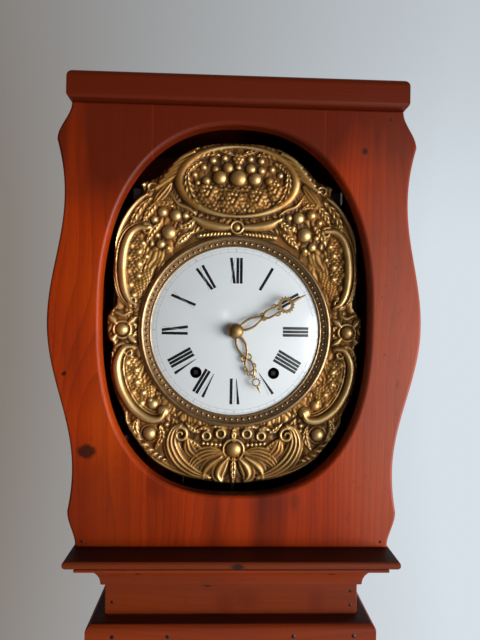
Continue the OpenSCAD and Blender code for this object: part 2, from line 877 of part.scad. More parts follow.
// upright bars that carry the pivots
module bars(y0) {
    z0 = dial_h + cage_z0 + cage_t;
    z1 = dial_h + cage_z1 - cage_t;
    strike_x = -pin_x - strike_bar_out;
    arm_z = dial_h + hammer_z;
    box(-mid_bar_in, third_at[0] + mid_bar_out, y0, y0 + bar_t, z0, z1);
    box(wind_x - bar_side, wind_x + bar_side, y0, y0 + bar_t, z0, z1);
    union() {
        box(strike_x, -wind_x + bar_side, y0, y0 + bar_t, z0, z1);
        box(-hammer_x - hammer_arm_out, strike_x + sink, y0, y0 + bar_t, arm_z - hammer_arm_h, arm_z + hammer_arm_h);
    }
}
module pivot(p, y0, r) {
    bar_y(p, y0 - 1, y0 + bar_t + 1, r + run_fit);
}
module front_bars() color(iron) {
    union() {
        difference() {
            bars(cage_y0);
            pivot(going_at, cage_y0, barrel_arbor_r);
            pivot(strike_at, cage_y0, barrel_arbor_r);
            pivot(second_at, cage_y0, arbor_r);
            pivot(third_at, cage_y0, thin_r);
            pivot(escape_at, cage_y0, thin_r);
            pivot(anchor_at, cage_y0, arbor_r);
            pivot(pin_at, cage_y0, arbor_r);
            pivot(fly_at, cage_y0, thin_r);
            pivot(hammer_at, cage_y0, arbor_r);
        }
        bar_y(centre, minute_y, cage_y0 + sink, stud_r);
    }
}
module rear_bars() color(iron) {
    difference() {
        bars(rear_bar_y);
        pivot(going_at, rear_bar_y, barrel_arbor_r);
        pivot(strike_at, rear_bar_y, barrel_arbor_r);
        pivot(second_at, rear_bar_y, arbor_r);
        pivot(third_at, rear_bar_y, thin_r);
        pivot(escape_at, rear_bar_y, thin_r);
        pivot(pin_at, rear_bar_y, arbor_r);
        pivot(fly_at, rear_bar_y, thin_r);
        pivot(hammer_at, rear_bar_y, arbor_r);
    }
}

module anchor_cock() color(brass) {
    z0 = dial_h + anchor_at[1];
    difference() {
        union() {
            box(-4, 4, cage_y0 + bar_t, -12, z0 - 18, z0 - 12);
            box(-4, 4, -15, -12, z0 - 18, z0 + 4);
        }
        bar_y(anchor_at, -16, -11, arbor_r + run_fit);
    }
}

module suspension_cock() color(iron) {
    z0 = dial_h + anchor_at[1];
    union() {
        both_sides() box(8, 12, y_rod[0] - 1, cage_y0, z0 + 1, z0 + 7);
        box(-12, 12, y_rod[0] - 1, y_rod[1] + 1, z0 + 1, z0 + 7);
    }
}

module bell() color(gilt) {
    translate([0, line_y, dial_h + cage_z1 + bell_up]) difference() {
        rotate_extrude() intersection() {
            difference() {
                circle(bell_r);
                circle(bell_r - bell_t);
            }
            square([bell_r, bell_r]);
        }
        translate([0, 0, bell_r - 10]) cylinder(h = 20, r = bell_stem_r);
    }
}

module bell_stand() color(iron) {
    z0 = dial_h + cage_z1;
    union() {
        bar_z(0, line_y, z0, z0 + 4, 9);
        bar_z(0, line_y, z0, z0 + bell_up + sqrt(pow(bell_r - bell_t, 2) - pow(post_r, 2)), post_r);
        bar_z(0, line_y, z0, z0 + bell_up + bell_r + 9, bell_stem_r);
        bar_z(0, line_y, z0 + bell_up + bell_r, z0 + bell_up + bell_r + 5, 7);
    }
}

// a line barrel on its winding arbor
module barrel(p) {
    union() {
        bar_y(p, lane_great[0] - 8, rear_bar_y + bar_t, barrel_arbor_r);
        bar_y(p, drum[0], drum[1], barrel_r);
        bar_y(p, drum[0], drum[0] + flange_t, flange_r);
        bar_y(p, drum[1] - flange_t, drum[1], flange_r);
        dial_view(-68, lane_great[0] - 7) translate(p) square(5.6, center = true);
    }
}
module going_barrel() color(steel) {
    barrel(going_at);
}
module strike_barrel() color(steel) {
    barrel(strike_at);
}

module going_great_wheel() color(brass) {
    wheel(going_at, lane_great, great_n, great_m, heading(going_at, second_at), 9, barrel_arbor_r + run_fit);
}
module strike_great_wheel() color(brass) {
    wheel(strike_at, lane_great, great_n, great_m, heading(strike_at, pin_at), 9, barrel_arbor_r + run_fit);
}

// the second arbor drives the hands in front and the third arbor behind
module second_wheel() color(brass) {
    union() {
        bar_y(second_at, lane_hour[0] - 2, rear_bar_y + bar_t, arbor_r);
        pinion(second_at, lane_great, great_p, great_m, heading(second_at, going_at));
        pinion(second_at, lane_hour, hour_p, motion_m, heading(second_at, centre));
        wheel(second_at, lane_motion, second_n, motion_m, heading(second_at, centre), 4, 0.5);
        wheel(second_at, lane_third, third_n, fine_m, heading(second_at, third_at), 5, 0.5);
    }
}

module third_wheel() color(brass) {
    union() {
        bar_y(third_at, cage_y0, rear_bar_y + bar_t, thin_r);
        pinion(third_at, lane_third, fine_p, fine_m, heading(third_at, second_at));
        wheel(third_at, lane_fourth, fourth_n, fine_m, heading(third_at, escape_at), 4, 0.5);
    }
}

// pointed teeth that lean into the direction of turn
module escape_wheel() color(brass) {
    root = escape_r - 5;
    step = 360 / escape_n;
    outline = [for (i = [0:escape_n - 1]) each [
        [root * cos(step * i), root * sin(step * i)],
        [escape_r * cos(step * (i + 0.55)), escape_r * sin(step * (i + 0.55))],
        [escape_r * cos(step * (i + 0.62)), escape_r * sin(step * (i + 0.62))],
        [root * cos(step * (i + 0.5)), root * sin(step * (i + 0.5))]]];
    union() {
        bar_y(escape_at, cage_y0, rear_bar_y + bar_t, thin_r);
        pinion(escape_at, lane_fourth, fine_p, fine_m, heading(escape_at, third_at));
        dial_view(lane_escape[0], lane_escape[1]) translate(escape_at) union() {
            difference() {
                polygon(outline);
                circle(root - 3);
            }
            square([2 * root - 5, 3.5], center = true);
            square([3.5, 2 * root - 5], center = true);
            circle(4);
        }
    }
}

module cannon_wheel() color(brass) {
    difference() {
        union() {
            bar_y(centre, minute_y - 1, lane_motion[1] + 1, cannon_r);
            pinion(centre, lane_motion, cannon_n, motion_m, heading(centre, second_at));
        }
        bar_y(centre, minute_y - 2, lane_motion[1] + 4, stud_r + run_fit);
    }
}

module hour_wheel() color(brass) {
    difference() {
        union() {
            bar_y(centre, hour_y - 0.6, lane_hour[1] + move_gap, pipe_r);
            wheel(centre, lane_hour, hour_n, motion_m, heading(centre, second_at), 8, 0.5);
        }
        bar_y(centre, hour_y - 2, lane_hour[1] + 3, cannon_r + run_fit);
    }
}

// recoil anchor below the escape wheel, with its crutch in front of the bars
module anchor() color(steel) {
    reach = [17.7, 12.6];
    hang = anchor_at[1] - 104;
    union() {
        bar_y(anchor_at, cage_y0 - 2.6, -12, arbor_r);
        dial_view(lane_escape[0], lane_escape[1]) translate(anchor_at) union() {
            circle(5);
            for (s = [0, 1]) {
                mirror([s, 0]) union() {
                    translate(reach) circle(2);
                    rotate(heading(centre, reach)) translate([0, -1.8]) square([norm(reach), 3.6]);
                }
            }
        }
        dial_view(cage_y0 - 2.6, cage_y0 - 0.6) union() {
            translate(anchor_at) circle(4.5);
            translate([-2, hang]) square([4, anchor_at[1] - hang]);
            translate([-rod_x - move_gap - 2.2, hang - 2]) square([2 * rod_x + 2 * move_gap + 4.4, 5]);
        }
        both_sides() box(rod_x + move_gap, rod_x + move_gap + 2.2, y_rod[0], cage_y0 - 1, dial_h + hang - 2, dial_h + hang + 3);
    }
}

module pendulum_rod() color(steel) {
    z0 = dial_h + anchor_at[1];
    difference() {
        union() {
            box(-4, 4, y_bob - 0.5, y_bob + 0.5, z0 - 16, z0 + 1 - move_gap);
            box(-4, 4, y_rod[0], y_rod[1], z0 - 26, z0 - 14);
            box(-rod_x, rod_x, y_rod[0], y_rod[1], z0 - pendulum_len - bob_d / 2, z0 - 25);
        }
    }
    bar_z(0, y_bob, z0 - pendulum_len - bob_d / 2 - 40, z0 - pendulum_len - bob_d / 2 + sink, 1.4);
}

module pendulum_bob() color(brass) {
    r = bob_d / 2;
    ball_r = (r * r + bob_t * bob_t / 4) / bob_t;
    z0 = dial_h + anchor_at[1] - pendulum_len;
    difference() {
        translate([0, y_bob, z0]) rotate([90, 0, 0]) rotate_extrude() intersection() {
            translate([0, bob_t / 2 - ball_r]) circle(ball_r, $fn = 720);
            translate([0, ball_r - bob_t / 2]) circle(ball_r, $fn = 720);
            translate([0, -bob_t]) square([r, 2 * bob_t]);
        }
        box(-rod_x, rod_x, y_rod[0], y_rod[1], z0 - r - 1, z0 + r + 1);
    }
}

module rating_nut() color(brass) {
    z0 = dial_h + anchor_at[1] - pendulum_len - bob_d / 2;
    difference() {
        bar_z(0, y_bob, z0 - 12, z0 - 1, 7);
        bar_z(0, y_bob, z0 - 20, z0 + 2, 1.4);
    }
}

// the pin wheel lifts the hammer, and the fly holds its speed
module pin_wheel() color(brass) {
    union() {
        bar_y(pin_at, cage_y0, rear_bar_y + bar_t, arbor_r);
        pinion(pin_at, lane_great, great_p, great_m, heading(pin_at, strike_at));
        wheel(pin_at, lane_third, pin_n, pin_m, heading(pin_at, fly_at), 4, 0.5);
        for (a = [0:45:315]) {
            bar_y(pin_at + 17.5 * [cos(a + 20), sin(a + 20)], lane_third[1] - sink, lane_third[1] + 6, 1);
        }
    }
}
module fly() color(steel) {
    union() {
        bar_y(fly_at, cage_y0, rear_bar_y + bar_t, thin_r);
        pinion(fly_at, lane_third, fine_p, pin_m, heading(fly_at, pin_at));
        dial_view(0, 46) translate(fly_at) square([1.6, 40], center = true);
        bar_y(fly_at, -2, 48, 2);
    }
}

module hammer() color(iron) {
    z0 = dial_h + hammer_at[1];
    head_z = dial_h + cage_z1 + 27;
    union() {
        bar_y(hammer_at, cage_y0, rear_bar_y + bar_t, arbor_r);
        box(hammer_at[0] - 2.5, hammer_at[0] + 2.5, 28, 34, z0 - 3, head_z);
        translate([hammer_at[0] - 3, 31, head_z]) rotate([0, 90, 0]) cylinder(h = -bell_r - 3.5 - hammer_at[0] + 3, r = 6);
        box(hammer_at[0] - 3, hammer_at[0] + 11.5, lane_third[1] + 1.5, lane_third[1] + 5.5, z0 - 2.5, z0 + 2.5);
    }
}

// iron weights with an eye, on lines from the barrels
module weight() {
    union() {
        bar_z(line_x, line_y, weight_low, weight_top, weight_d / 2);
        translate([line_x, line_y, weight_top - sink]) cylinder(h = 10 + sink, r1 = weight_d / 2, r2 = 9);
        bar_z(line_x, line_y, weight_top, weight_top + stem_h + 3, 3);
        translate([line_x, line_y, weight_top + stem_h + eye_r]) rotate([90, 0, 0]) rotate_extrude() translate([eye_r - 2, 0]) circle(2);
    }
}
module going_weight() color(iron) {
    weight();
}
module strike_weight() color(iron) {
    mirror([1, 0, 0]) weight();
}
module going_line() color([0.55, 0.45, 0.30]) {
    bar_z(line_x, line_y, z_line_foot, dial_h - wind_z, line_r);
}
module strike_line() color([0.55, 0.45, 0.30]) {
    bar_z(-line_x, line_y, z_line_foot, dial_h - wind_z, line_r);
}

hood_front_board();
hood_top_board();
hood_sides();
hood_back_board();
hood_shelf();
cove_moulding();
neck_front_board();
trunk_collar();
trunk_sides();
trunk_back_board();
trunk_front_frame();
base_moulding();
base_front_panel();
base_sides();
base_floor();
plinth();
seat_board();
frame_hinge_leaves();
trunk_door();
door_glass();
glass_bezel();
door_hinge_leaves();
door_knob();
latch_tongue();
dial_plate();
brass_surround();
bezel();
enamel_dial();
hour_hand();
minute_hand();
hand_boss();
cage_plates();
cage_pillars();
front_bars();
rear_bars();
anchor_cock();
suspension_cock();
bell();
bell_stand();
going_barrel();
going_great_wheel();
second_wheel();
third_wheel();
escape_wheel();
cannon_wheel();
hour_wheel();
anchor();
pendulum_rod();
pendulum_bob();
rating_nut();
strike_barrel();
strike_great_wheel();
pin_wheel();
fly();
hammer();
going_weight();
strike_weight();
going_line();
strike_line();
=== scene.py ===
"""Comtoise long-case clock: woods, pressed brass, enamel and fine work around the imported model."""

import functools
import math

import bmesh
import bpy
import numpy as np
from bpy.props import FloatProperty, FloatVectorProperty, IntProperty, PointerProperty
from mathutils import Matrix, Vector


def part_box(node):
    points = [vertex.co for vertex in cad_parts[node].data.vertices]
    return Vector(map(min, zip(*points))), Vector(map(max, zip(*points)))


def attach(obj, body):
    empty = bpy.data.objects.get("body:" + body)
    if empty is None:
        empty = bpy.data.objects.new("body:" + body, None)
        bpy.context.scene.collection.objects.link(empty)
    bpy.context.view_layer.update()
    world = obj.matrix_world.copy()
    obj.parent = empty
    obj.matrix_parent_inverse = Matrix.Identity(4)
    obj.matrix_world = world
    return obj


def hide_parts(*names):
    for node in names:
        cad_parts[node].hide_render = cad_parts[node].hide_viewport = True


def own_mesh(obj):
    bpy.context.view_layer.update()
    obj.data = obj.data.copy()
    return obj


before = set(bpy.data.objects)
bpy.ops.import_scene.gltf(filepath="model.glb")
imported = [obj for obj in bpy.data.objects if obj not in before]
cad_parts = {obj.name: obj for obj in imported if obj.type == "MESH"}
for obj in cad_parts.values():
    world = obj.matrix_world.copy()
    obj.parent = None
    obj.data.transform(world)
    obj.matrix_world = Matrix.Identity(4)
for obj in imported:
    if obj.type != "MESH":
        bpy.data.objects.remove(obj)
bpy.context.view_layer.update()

bl_info = {
    "name": "Comtoise clock",
    "version": (1, 0, 0),
    "blender": (4, 5, 0),
    "location": "View3D > Sidebar > Clock",
    "description": "Finishes a long-case clock: stained pine, pressed brass, enamel dial and gilt hands",
    "category": "Object",
}

# Places that come from the frame, in metres
MM = 0.001
WELD = 0.00001
DIAL_LOW, DIAL_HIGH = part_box("enamel_dial")
DIAL_Z = (DIAL_LOW.z + DIAL_HIGH.z) / 2
DIAL_R = (DIAL_HIGH.x - DIAL_LOW.x) / 2
DIAL_T = 2 * MM
DIAL_APEX = DIAL_LOW.y
DIAL_RISE = DIAL_HIGH.y - DIAL_T - DIAL_APEX
DOME_R = (DIAL_R ** 2 + DIAL_RISE ** 2) / (2 * DIAL_RISE)
BEZEL_LOW, BEZEL_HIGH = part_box("bezel")
BEZEL_R = (BEZEL_HIGH.x - BEZEL_LOW.x) / 2
SHEET_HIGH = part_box("brass_surround")[1]
SHEET_T = 2.5 * MM
SHEET_FRONT = SHEET_HIGH.y - SHEET_T
FRONT_LOW, FRONT_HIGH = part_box("hood_front_board")
CASE_BODY = "case"


def metres(name, about, value):
    """A length property, in metres."""
    return FloatProperty(name=name, description=about, default=value, unit="LENGTH")


def degrees(name, about, value):
    """An angle property, given in degrees."""
    return FloatProperty(name=name, description=about, default=math.radians(value), subtype="ANGLE")


def watts(name, about, value):
    """A light's power property."""
    return FloatProperty(name=name, description=about, default=value, unit="POWER")


def colour(name, about, value):
    """A linear colour property."""
    return FloatVectorProperty(name=name, description=about, default=value, size=3, subtype="COLOR",
                               min=0, max=1)


class CLOCK_PG_sizes(bpy.types.PropertyGroup):
    """Sizes of the finish."""

    board_ease: metres("Board ease", "Rounding on the edges of plain boards", 1.8 * MM)
    moulding_ease: metres("Moulding ease", "Rounding on the arrises of the mouldings", 1.6 * MM)
    fitting_ease: metres("Fitting ease", "Rounding on the door's fittings", 0.35 * MM)
    outline_ease: metres("Outline ease", "Rounding on the hood front's wavy edge", 3.5 * MM)
    mouth_round: metres("Mouth rounding", "Radius on the front edge of the mouth", 5.5 * MM)
    top_round: metres("Top rounding", "Radius on the edges of the top board", 11 * MM)
    relief_pitch: metres("Relief pitch", "Spacing of the pressed sheet's mesh", 0.92 * MM)
    bead_r: metres("Bead radius", "Radius of a bead on the bezel", 2.2 * MM)
    bead_count: IntProperty(name="Beads", description="Number of beads around the bezel", default=94, min=24)
    stroke_w: metres("Stroke width", "Width of a numeral's thick stroke", 3.7 * MM)
    hairline_w: metres("Hairline width", "Width of a numeral's thin stroke", 0.5 * MM)
    numeral_in: metres("Numeral foot", "Radius of the numerals' feet", 63.5 * MM)
    numeral_out: metres("Numeral head", "Radius of the numerals' heads", 98.5 * MM)
    track_in: metres("Track inside", "Inner radius of the minute track", 106.2 * MM)
    track_out: metres("Track outside", "Outer radius of the minute track", 110.8 * MM)
    nail_r: metres("Nail head", "Radius of a nail head", 2.2 * MM)
    line_twist: metres("Line twist", "Length of one turn of the weight line's lay", 9 * MM)


class CLOCK_PG_colours(bpy.types.PropertyGroup):
    """Colours of the finish."""

    pine_dark: colour("Pine, dark", "Deep red-brown of the stain in dense grain", (0.108, 0.0098, 0.0010))
    pine_mid: colour("Pine, middle", "Usual tone of the stained pine", (0.350, 0.0295, 0.0011))
    pine_light: colour("Pine, light", "Orange of the stain where it is thin", (0.500, 0.0570, 0.0022))
    # Painted sheen: a paler, greyed tone where the window's light glances off the hood front.
    pine_sheen: colour("Pine, sheen", "Painted sheen on the window side", (0.330, 0.095, 0.055))
    moulding_tint: colour("Mouldings", "Duller tone of the mouldings", (0.098, 0.0172, 0.0028))
    knot: colour("Knots", "Heart of a knot and of a dent in the wood", (0.016, 0.006, 0.004))
    # Mostly painted shade on wood that faces up, partly dust.
    dust_and_top_shade: colour("Dust and top shade", "Dust and painted shade on wood that faces up", (0.012, 0.0045, 0.0030))
    # Painted shade: wood inside the hood is darkened nearly to black.
    hood_inside_shade: colour("Hood inside shade", "Wood inside the hood", (0.010, 0.005, 0.003))
    brass_bright: colour("Brass, bright", "Rubbed high places of the brass", (0.690, 0.470, 0.200))
    brass_mid: colour("Brass, aged", "Usual tone of the aged brass", (0.385, 0.182, 0.036))
    brass_dark: colour("Brass, hollow", "Dirt in the hollows of the brass", (0.082, 0.032, 0.004))
    brass_worn: colour("Brass, worn", "Lacquered brass of the bezel", (0.370, 0.215, 0.082))
    lacquer: colour("Lacquer", "Warm patches where lacquer is left on the brass", (0.42, 0.17, 0.030))
    gilt: colour("Gilding", "Dulled gilding of the hands and the bell", (0.400, 0.262, 0.108))
    iron: colour("Iron", "Blackened iron", (0.045, 0.042, 0.040))
    rust: colour("Rust", "Old rust on the iron", (0.030, 0.014, 0.008))
    steel: colour("Steel", "Worked steel", (0.360, 0.360, 0.355))
    tarnish: colour("Tarnish", "Dark film on the steel", (0.060, 0.045, 0.035))
    # Painted light: the pale strip on one ear's lip stands for light showing through a gap.
    light_gap_tint: colour("Painted light strip", "Painted light on one ear's lip", (0.80, 0.80, 0.78))
    enamel: colour("Enamel", "White of the dial", (0.720, 0.745, 0.755))
    enamel_stain: colour("Enamel, stained", "Greyed places of the dial", (0.56, 0.55, 0.52))
    crack: colour("Cracks", "Hair cracks in the enamel", (0.22, 0.19, 0.16))
    ink: colour("Ink", "Black of the numerals", (0.006, 0.006, 0.008))
    worn_ink: colour("Worn ink", "Grey of hairlines that are nearly gone", (0.300, 0.305, 0.310))
    cord: colour("Line", "Hemp of the weight lines", (0.300, 0.210, 0.110))
    glass: colour("Glass", "Faint green of the door's window", (0.86, 0.93, 0.90))
    floor: colour("Floor", "Pale floor", (0.720, 0.730, 0.740))


class CLOCK_PG_stage(bpy.types.PropertyGroup):
    """Camera, light and floor."""

    lens: FloatProperty(name="Lens", description="Focal length on a 36 mm long side", default=30.52,
                        unit="CAMERA")
    stand_off: metres("Stand-off", "Distance of the camera in front of the hood's face", 0.700)
    camera_x: metres("Camera across", "Camera right of the middle", -0.0204)
    camera_up: metres("Camera height", "Camera above the dial centre", 0.008)
    pitch: degrees("Pitch", "Camera tilt below the horizon", -0.54)
    yaw: degrees("Yaw", "Camera turn to the right", 2.07)
    roll: degrees("Roll", "Lean of the picture", 0.94)
    window_power: watts("Window power", "Strength of the large soft light", 250.0)
    glow_power: watts("Glow power", "Strength of the low light from the right", 2.4)
    lamp_power: watts("Lamp power", "Strength of the small light behind the camera", 0.4)
    floor_r: metres("Floor radius", "Radius of the pale floor", 2.1)


# Shared mesh helpers

def finished(bm, name, body, finish, stands_for=None, smooth=38.0, even=False):
    """Turn a bmesh into a piece that rides on a body, with smooth faces and sharp arrises."""
    limit = math.radians(smooth)
    for edge in bm.edges:
        edge.smooth = len(edge.link_faces) == 2 and edge.calc_face_angle(0.0) < limit
    for face in bm.faces:
        face.smooth = True
    mesh = bpy.data.meshes.new(name)
    bm.to_mesh(mesh)
    bm.free()
    if "custom_normal" in mesh.attributes:
        mesh.attributes.remove(mesh.attributes["custom_normal"])
    mesh.materials.clear()
    mesh.materials.append(finish)
    piece = bpy.data.objects.new(name, mesh)
    bpy.context.scene.collection.objects.link(piece)
    if even:
        piece.modifiers.new("even light", "WEIGHTED_NORMAL").keep_sharp = True
    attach(piece, body)
    if stands_for:
        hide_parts(stands_for)
    return piece


def rounded(bm, edges, offset, segments, clamp=True):
    """Round edges."""
    bmesh.ops.bevel(bm, geom=edges, offset=offset, offset_type="OFFSET", segments=segments, profile=0.5,
                    affect="EDGES", clamp_overlap=clamp, material=-1)


def eased_copy(node, ease, sharp=40.0):
    """A welded copy of a frame node with its sharp edges rounded."""
    bm = bmesh.new()
    bm.from_mesh(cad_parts[node].data)
    bmesh.ops.remove_doubles(bm, verts=bm.verts, dist=WELD)
    bmesh.ops.dissolve_limit(bm, angle_limit=math.radians(0.5), verts=bm.verts, edges=bm.edges)
    limit = math.radians(sharp)
    arrises = [e for e in bm.edges if len(e.link_faces) == 2 and e.calc_face_angle(0.0) > limit]
    rounded(bm, arrises, ease, 2)
    return bm


def dress(finish, *nodes):
    """Give frame nodes a finish."""
    for node in nodes:
        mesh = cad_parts[node].data
        mesh.materials.clear()
        mesh.materials.append(finish)


def block(bm, low, high):
    """A box between two corners."""
    made = bmesh.ops.create_cube(bm, size=1.0)["verts"]
    low, high = Vector(low), Vector(high)
    bmesh.ops.scale(bm, vec=high - low, verts=made)
    bmesh.ops.translate(bm, vec=(high + low) / 2, verts=made)


def verts_of(geom):
    """The vertices among what an operator made."""
    return [g for g in geom if isinstance(g, bmesh.types.BMVert)]


def double_ring(bm, segments, radius):
    """Two rings of vertices in one place, joined by faces that have no width yet."""
    before = set(bm.edges)
    inner = bmesh.ops.create_circle(bm, cap_ends=False, segments=segments, radius=radius)["verts"]
    rim = [e for e in bm.edges if e not in before]
    return inner, verts_of(bmesh.ops.extrude_edge_only(bm, edges=rim)["geom"])


def thickened(bm, faces, depth):
    """Give a skin its back and its sides."""
    grown = bmesh.ops.extrude_face_region(bm, geom=faces, use_keep_orig=True)["geom"]
    bmesh.ops.translate(bm, vec=(0, depth, 0), verts=verts_of(grown))


def spun(bm, profile, place, steps, closed=True):
    """Turn a profile of (radius, forward) points, in metres, around a front-to-back axis through place."""
    verts = [bm.verts.new((r, -forward, 0)) for r, forward in profile]
    pairs = list(zip(verts[:-1], verts[1:]))
    if closed:
        pairs.append((verts[-1], verts[0]))
    edges = [bm.edges.new(pair) for pair in pairs]
    before = set(bm.verts) - set(verts)
    bmesh.ops.spin(bm, geom=verts + edges, cent=(0, 0, 0), axis=(0, 1, 0), angle=math.tau, steps=steps,
                   use_merge=True)
    made = [v for v in bm.verts if v not in before]
    bmesh.ops.remove_doubles(bm, verts=made, dist=WELD)
    made = [v for v in bm.verts if v not in before]
    bmesh.ops.translate(bm, vec=place, verts=made)
    bmesh.ops.recalc_face_normals(bm, faces=[f for f in bm.faces if f.verts[0] not in before])


def dial_face(r):
    """Y of the dome's front at a radius from the dial centre."""
    return DIAL_APEX + DOME_R - math.sqrt(DOME_R ** 2 - r ** 2)


def through(points, count=28):
    """Points along a smooth curve through a few given ones."""
    p = np.array(points, float)
    p = np.vstack((2 * p[0] - p[1], p, 2 * p[-1] - p[-2]))
    spans = len(p) - 3
    out = []
    for t in np.linspace(0, spans, count):
        i = min(int(t), spans - 1)
        f = t - i
        a, b, c, d = p[i:i + 4]
        out.append(0.5 * (2 * b + (c - a) * f + (2 * a - 5 * b + 4 * c - d) * f ** 2
                          + (3 * b - a - 3 * c + d) * f ** 3))
    return np.array(out)


def wire(paths, flat):
    """A bmesh of tubes along paths of (x, y, z, radius) points in metres, flattened front to back."""
    data = bpy.data.curves.new("strand", "CURVE")
    data.dimensions = "3D"
    data.bevel_depth = 1.0
    data.bevel_resolution = 3
    data.use_fill_caps = True
    for path in paths:
        spline = data.splines.new("POLY")
        spline.points.add(len(path) - 1)
        for point, (x, y, z, r) in zip(spline.points, path):
            point.co = (x, y, z, 1.0)
            point.radius = r
    holder = bpy.data.objects.new("strand", data)
    bpy.context.scene.collection.objects.link(holder)
    bpy.context.view_layer.update()
    seen = holder.evaluated_get(bpy.context.evaluated_depsgraph_get())
    mesh = bpy.data.meshes.new_from_object(seen)
    bm = bmesh.new()
    bm.from_mesh(mesh)
    bpy.data.objects.remove(holder)
    bpy.data.curves.remove(data)
    bpy.data.meshes.remove(mesh)
    bmesh.ops.scale(bm, vec=(1, flat, 1), verts=bm.verts)
    return bm


def trimmed_grid(half_w, half_h, mid_z, pitch, outer, holes):
    """A flat grid in X and Z, trimmed to an outline and holes, each a centre (x, z) and a radius by angle."""
    bm = bmesh.new()
    columns = int(round(2 * half_w / pitch))
    rows = int(round(2 * half_h / pitch))
    bmesh.ops.create_grid(bm, x_segments=columns, y_segments=rows, size=1.0)
    for v in bm.verts:
        v.co = Vector((v.co.x * half_w, 0, mid_z + v.co.y * half_h))

    def past(v, edge):
        x, z, radius = edge
        angle = math.atan2(v.co.z - z, v.co.x - x)
        return math.hypot(v.co.x - x, v.co.z - z) - radius(angle)

    margin = 0.3 * pitch
    waste = [v for v in bm.verts if past(v, outer) > -margin or any(past(v, hole) < margin for hole in holes)]
    bmesh.ops.delete(bm, geom=waste, context="VERTS")
    spurs = [v for v in bm.verts if len(v.link_faces) < 2]
    bmesh.ops.delete(bm, geom=spurs, context="VERTS")
    for v in bm.verts:
        if v.is_boundary:
            x, z, radius = min([outer] + list(holes), key=lambda edge: abs(past(v, edge)))
            angle = math.atan2(v.co.z - z, v.co.x - x)
            reach = radius(angle)
            v.co = Vector((x + reach * math.cos(angle), 0, z + reach * math.sin(angle)))
    for f in bm.faces:
        f.normal_update()
    if bm.faces[:][0].normal.y > 0:
        bmesh.ops.reverse_faces(bm, faces=bm.faces)
    return bm


# Shader helpers

def give(socket, value):
    """Link a socket to another one, or set it to a value; a colour gets full alpha."""
    if isinstance(value, bpy.types.NodeSocket):
        socket.id_data.links.new(value, socket)
    else:
        socket.default_value = (*value, 1.0) if socket.type == "RGBA" else value


def put(tree, kind, links=None, **settings):
    """Add a shader node; links maps sockets to values or to other sockets."""
    node = tree.nodes.new(kind)
    for key, value in settings.items():
        setattr(node, key, value)
    for key, value in (links or {}).items():
        give(node.inputs[key], value)
    return node


def calc(tree, what, a, b=0.5, c=0.5):
    """One math node's result."""
    return put(tree, "ShaderNodeMath", {0: a, 1: b, 2: c}, operation=what).outputs[0]


def vector(tree, what, a, b, c=(0.0, 0.0, 0.0)):
    """One vector math node's result."""
    return put(tree, "ShaderNodeVectorMath", {0: a, 1: b, 2: c}, operation=what).outputs[0]


def tuned(tree, value, low, high, to_low, to_high, smooth=False):
    """A value mapped from one range to another and clamped."""
    kind = "SMOOTHSTEP" if smooth else "LINEAR"
    return put(tree, "ShaderNodeMapRange", {0: value, 1: low, 2: high, 3: to_low, 4: to_high},
               interpolation_type=kind).outputs[0]


def blended(tree, share, a, b):
    """Two colours mixed by a share."""
    return put(tree, "ShaderNodeMix", {0: share, 6: a, 7: b}, data_type="RGBA").outputs[2]


def ramp(tree, value, first, last, middle):
    """Colours along a value; each of the three stops is a position and a colour."""
    node = put(tree, "ShaderNodeValToRGB", {0: value})
    stops = node.color_ramp.elements
    for stop, (position, tint) in zip(stops, (first, last)):
        stop.position = position
        stop.color = (*tint, 1.0)
    stops.new(middle[0]).color = (*middle[1], 1.0)
    return node.outputs[0]


def noise(tree, place, scale, stretch=(1, 1, 1), detail=2.0, rough=0.5):
    """Noise of a place stretched by axis."""
    moved = put(tree, "ShaderNodeMapping", {0: place, 3: stretch}).outputs[0]
    return put(tree, "ShaderNodeTexNoise",
               {"Vector": moved, "Scale": scale, "Detail": detail, "Roughness": rough}).outputs[0]


def once(build):
    """Let a material be built the first time that its name is asked for, and be shared after that."""
    @functools.wraps(build)
    def shared(name, *rest, **more):
        if name not in bpy.data.materials:
            build(name, *rest, **more)
        return bpy.data.materials[name]
    return shared


def feed(shader, **values):
    """Set or link a shader's sockets by name."""
    for key, value in values.items():
        give(shader.inputs[key.replace("_", " ")], value)


def material(name, **values):
    """Start a material; returns its tree, its shader and the piece's own coordinates."""
    made = bpy.data.materials.new(name)
    made.use_nodes = True
    tree = made.node_tree
    shader = tree.nodes["Principled BSDF"]
    feed(shader, **values)
    return tree, shader, put(tree, "ShaderNodeTexCoord").outputs["Object"]


def bumped(tree, shader, height, strength, distance):
    """Let a height shape the surface's light."""
    bump = put(tree, "ShaderNodeBump", {"Height": height, "Strength": strength, "Distance": distance})
    feed(shader, Normal=bump.outputs[0])


def new_group(name, inputs, outputs):
    """An empty shader group with named sockets; returns it with its inputs and its outputs."""
    group = bpy.data.node_groups.new(name, "ShaderNodeTree")
    for label, kind in inputs:
        group.interface.new_socket(label, in_out="INPUT", socket_type=kind)
    for label in outputs:
        group.interface.new_socket(label, in_out="OUTPUT", socket_type="NodeSocketFloat")
    return group, group.nodes.new("NodeGroupInput").outputs, group.nodes.new("NodeGroupOutput").inputs


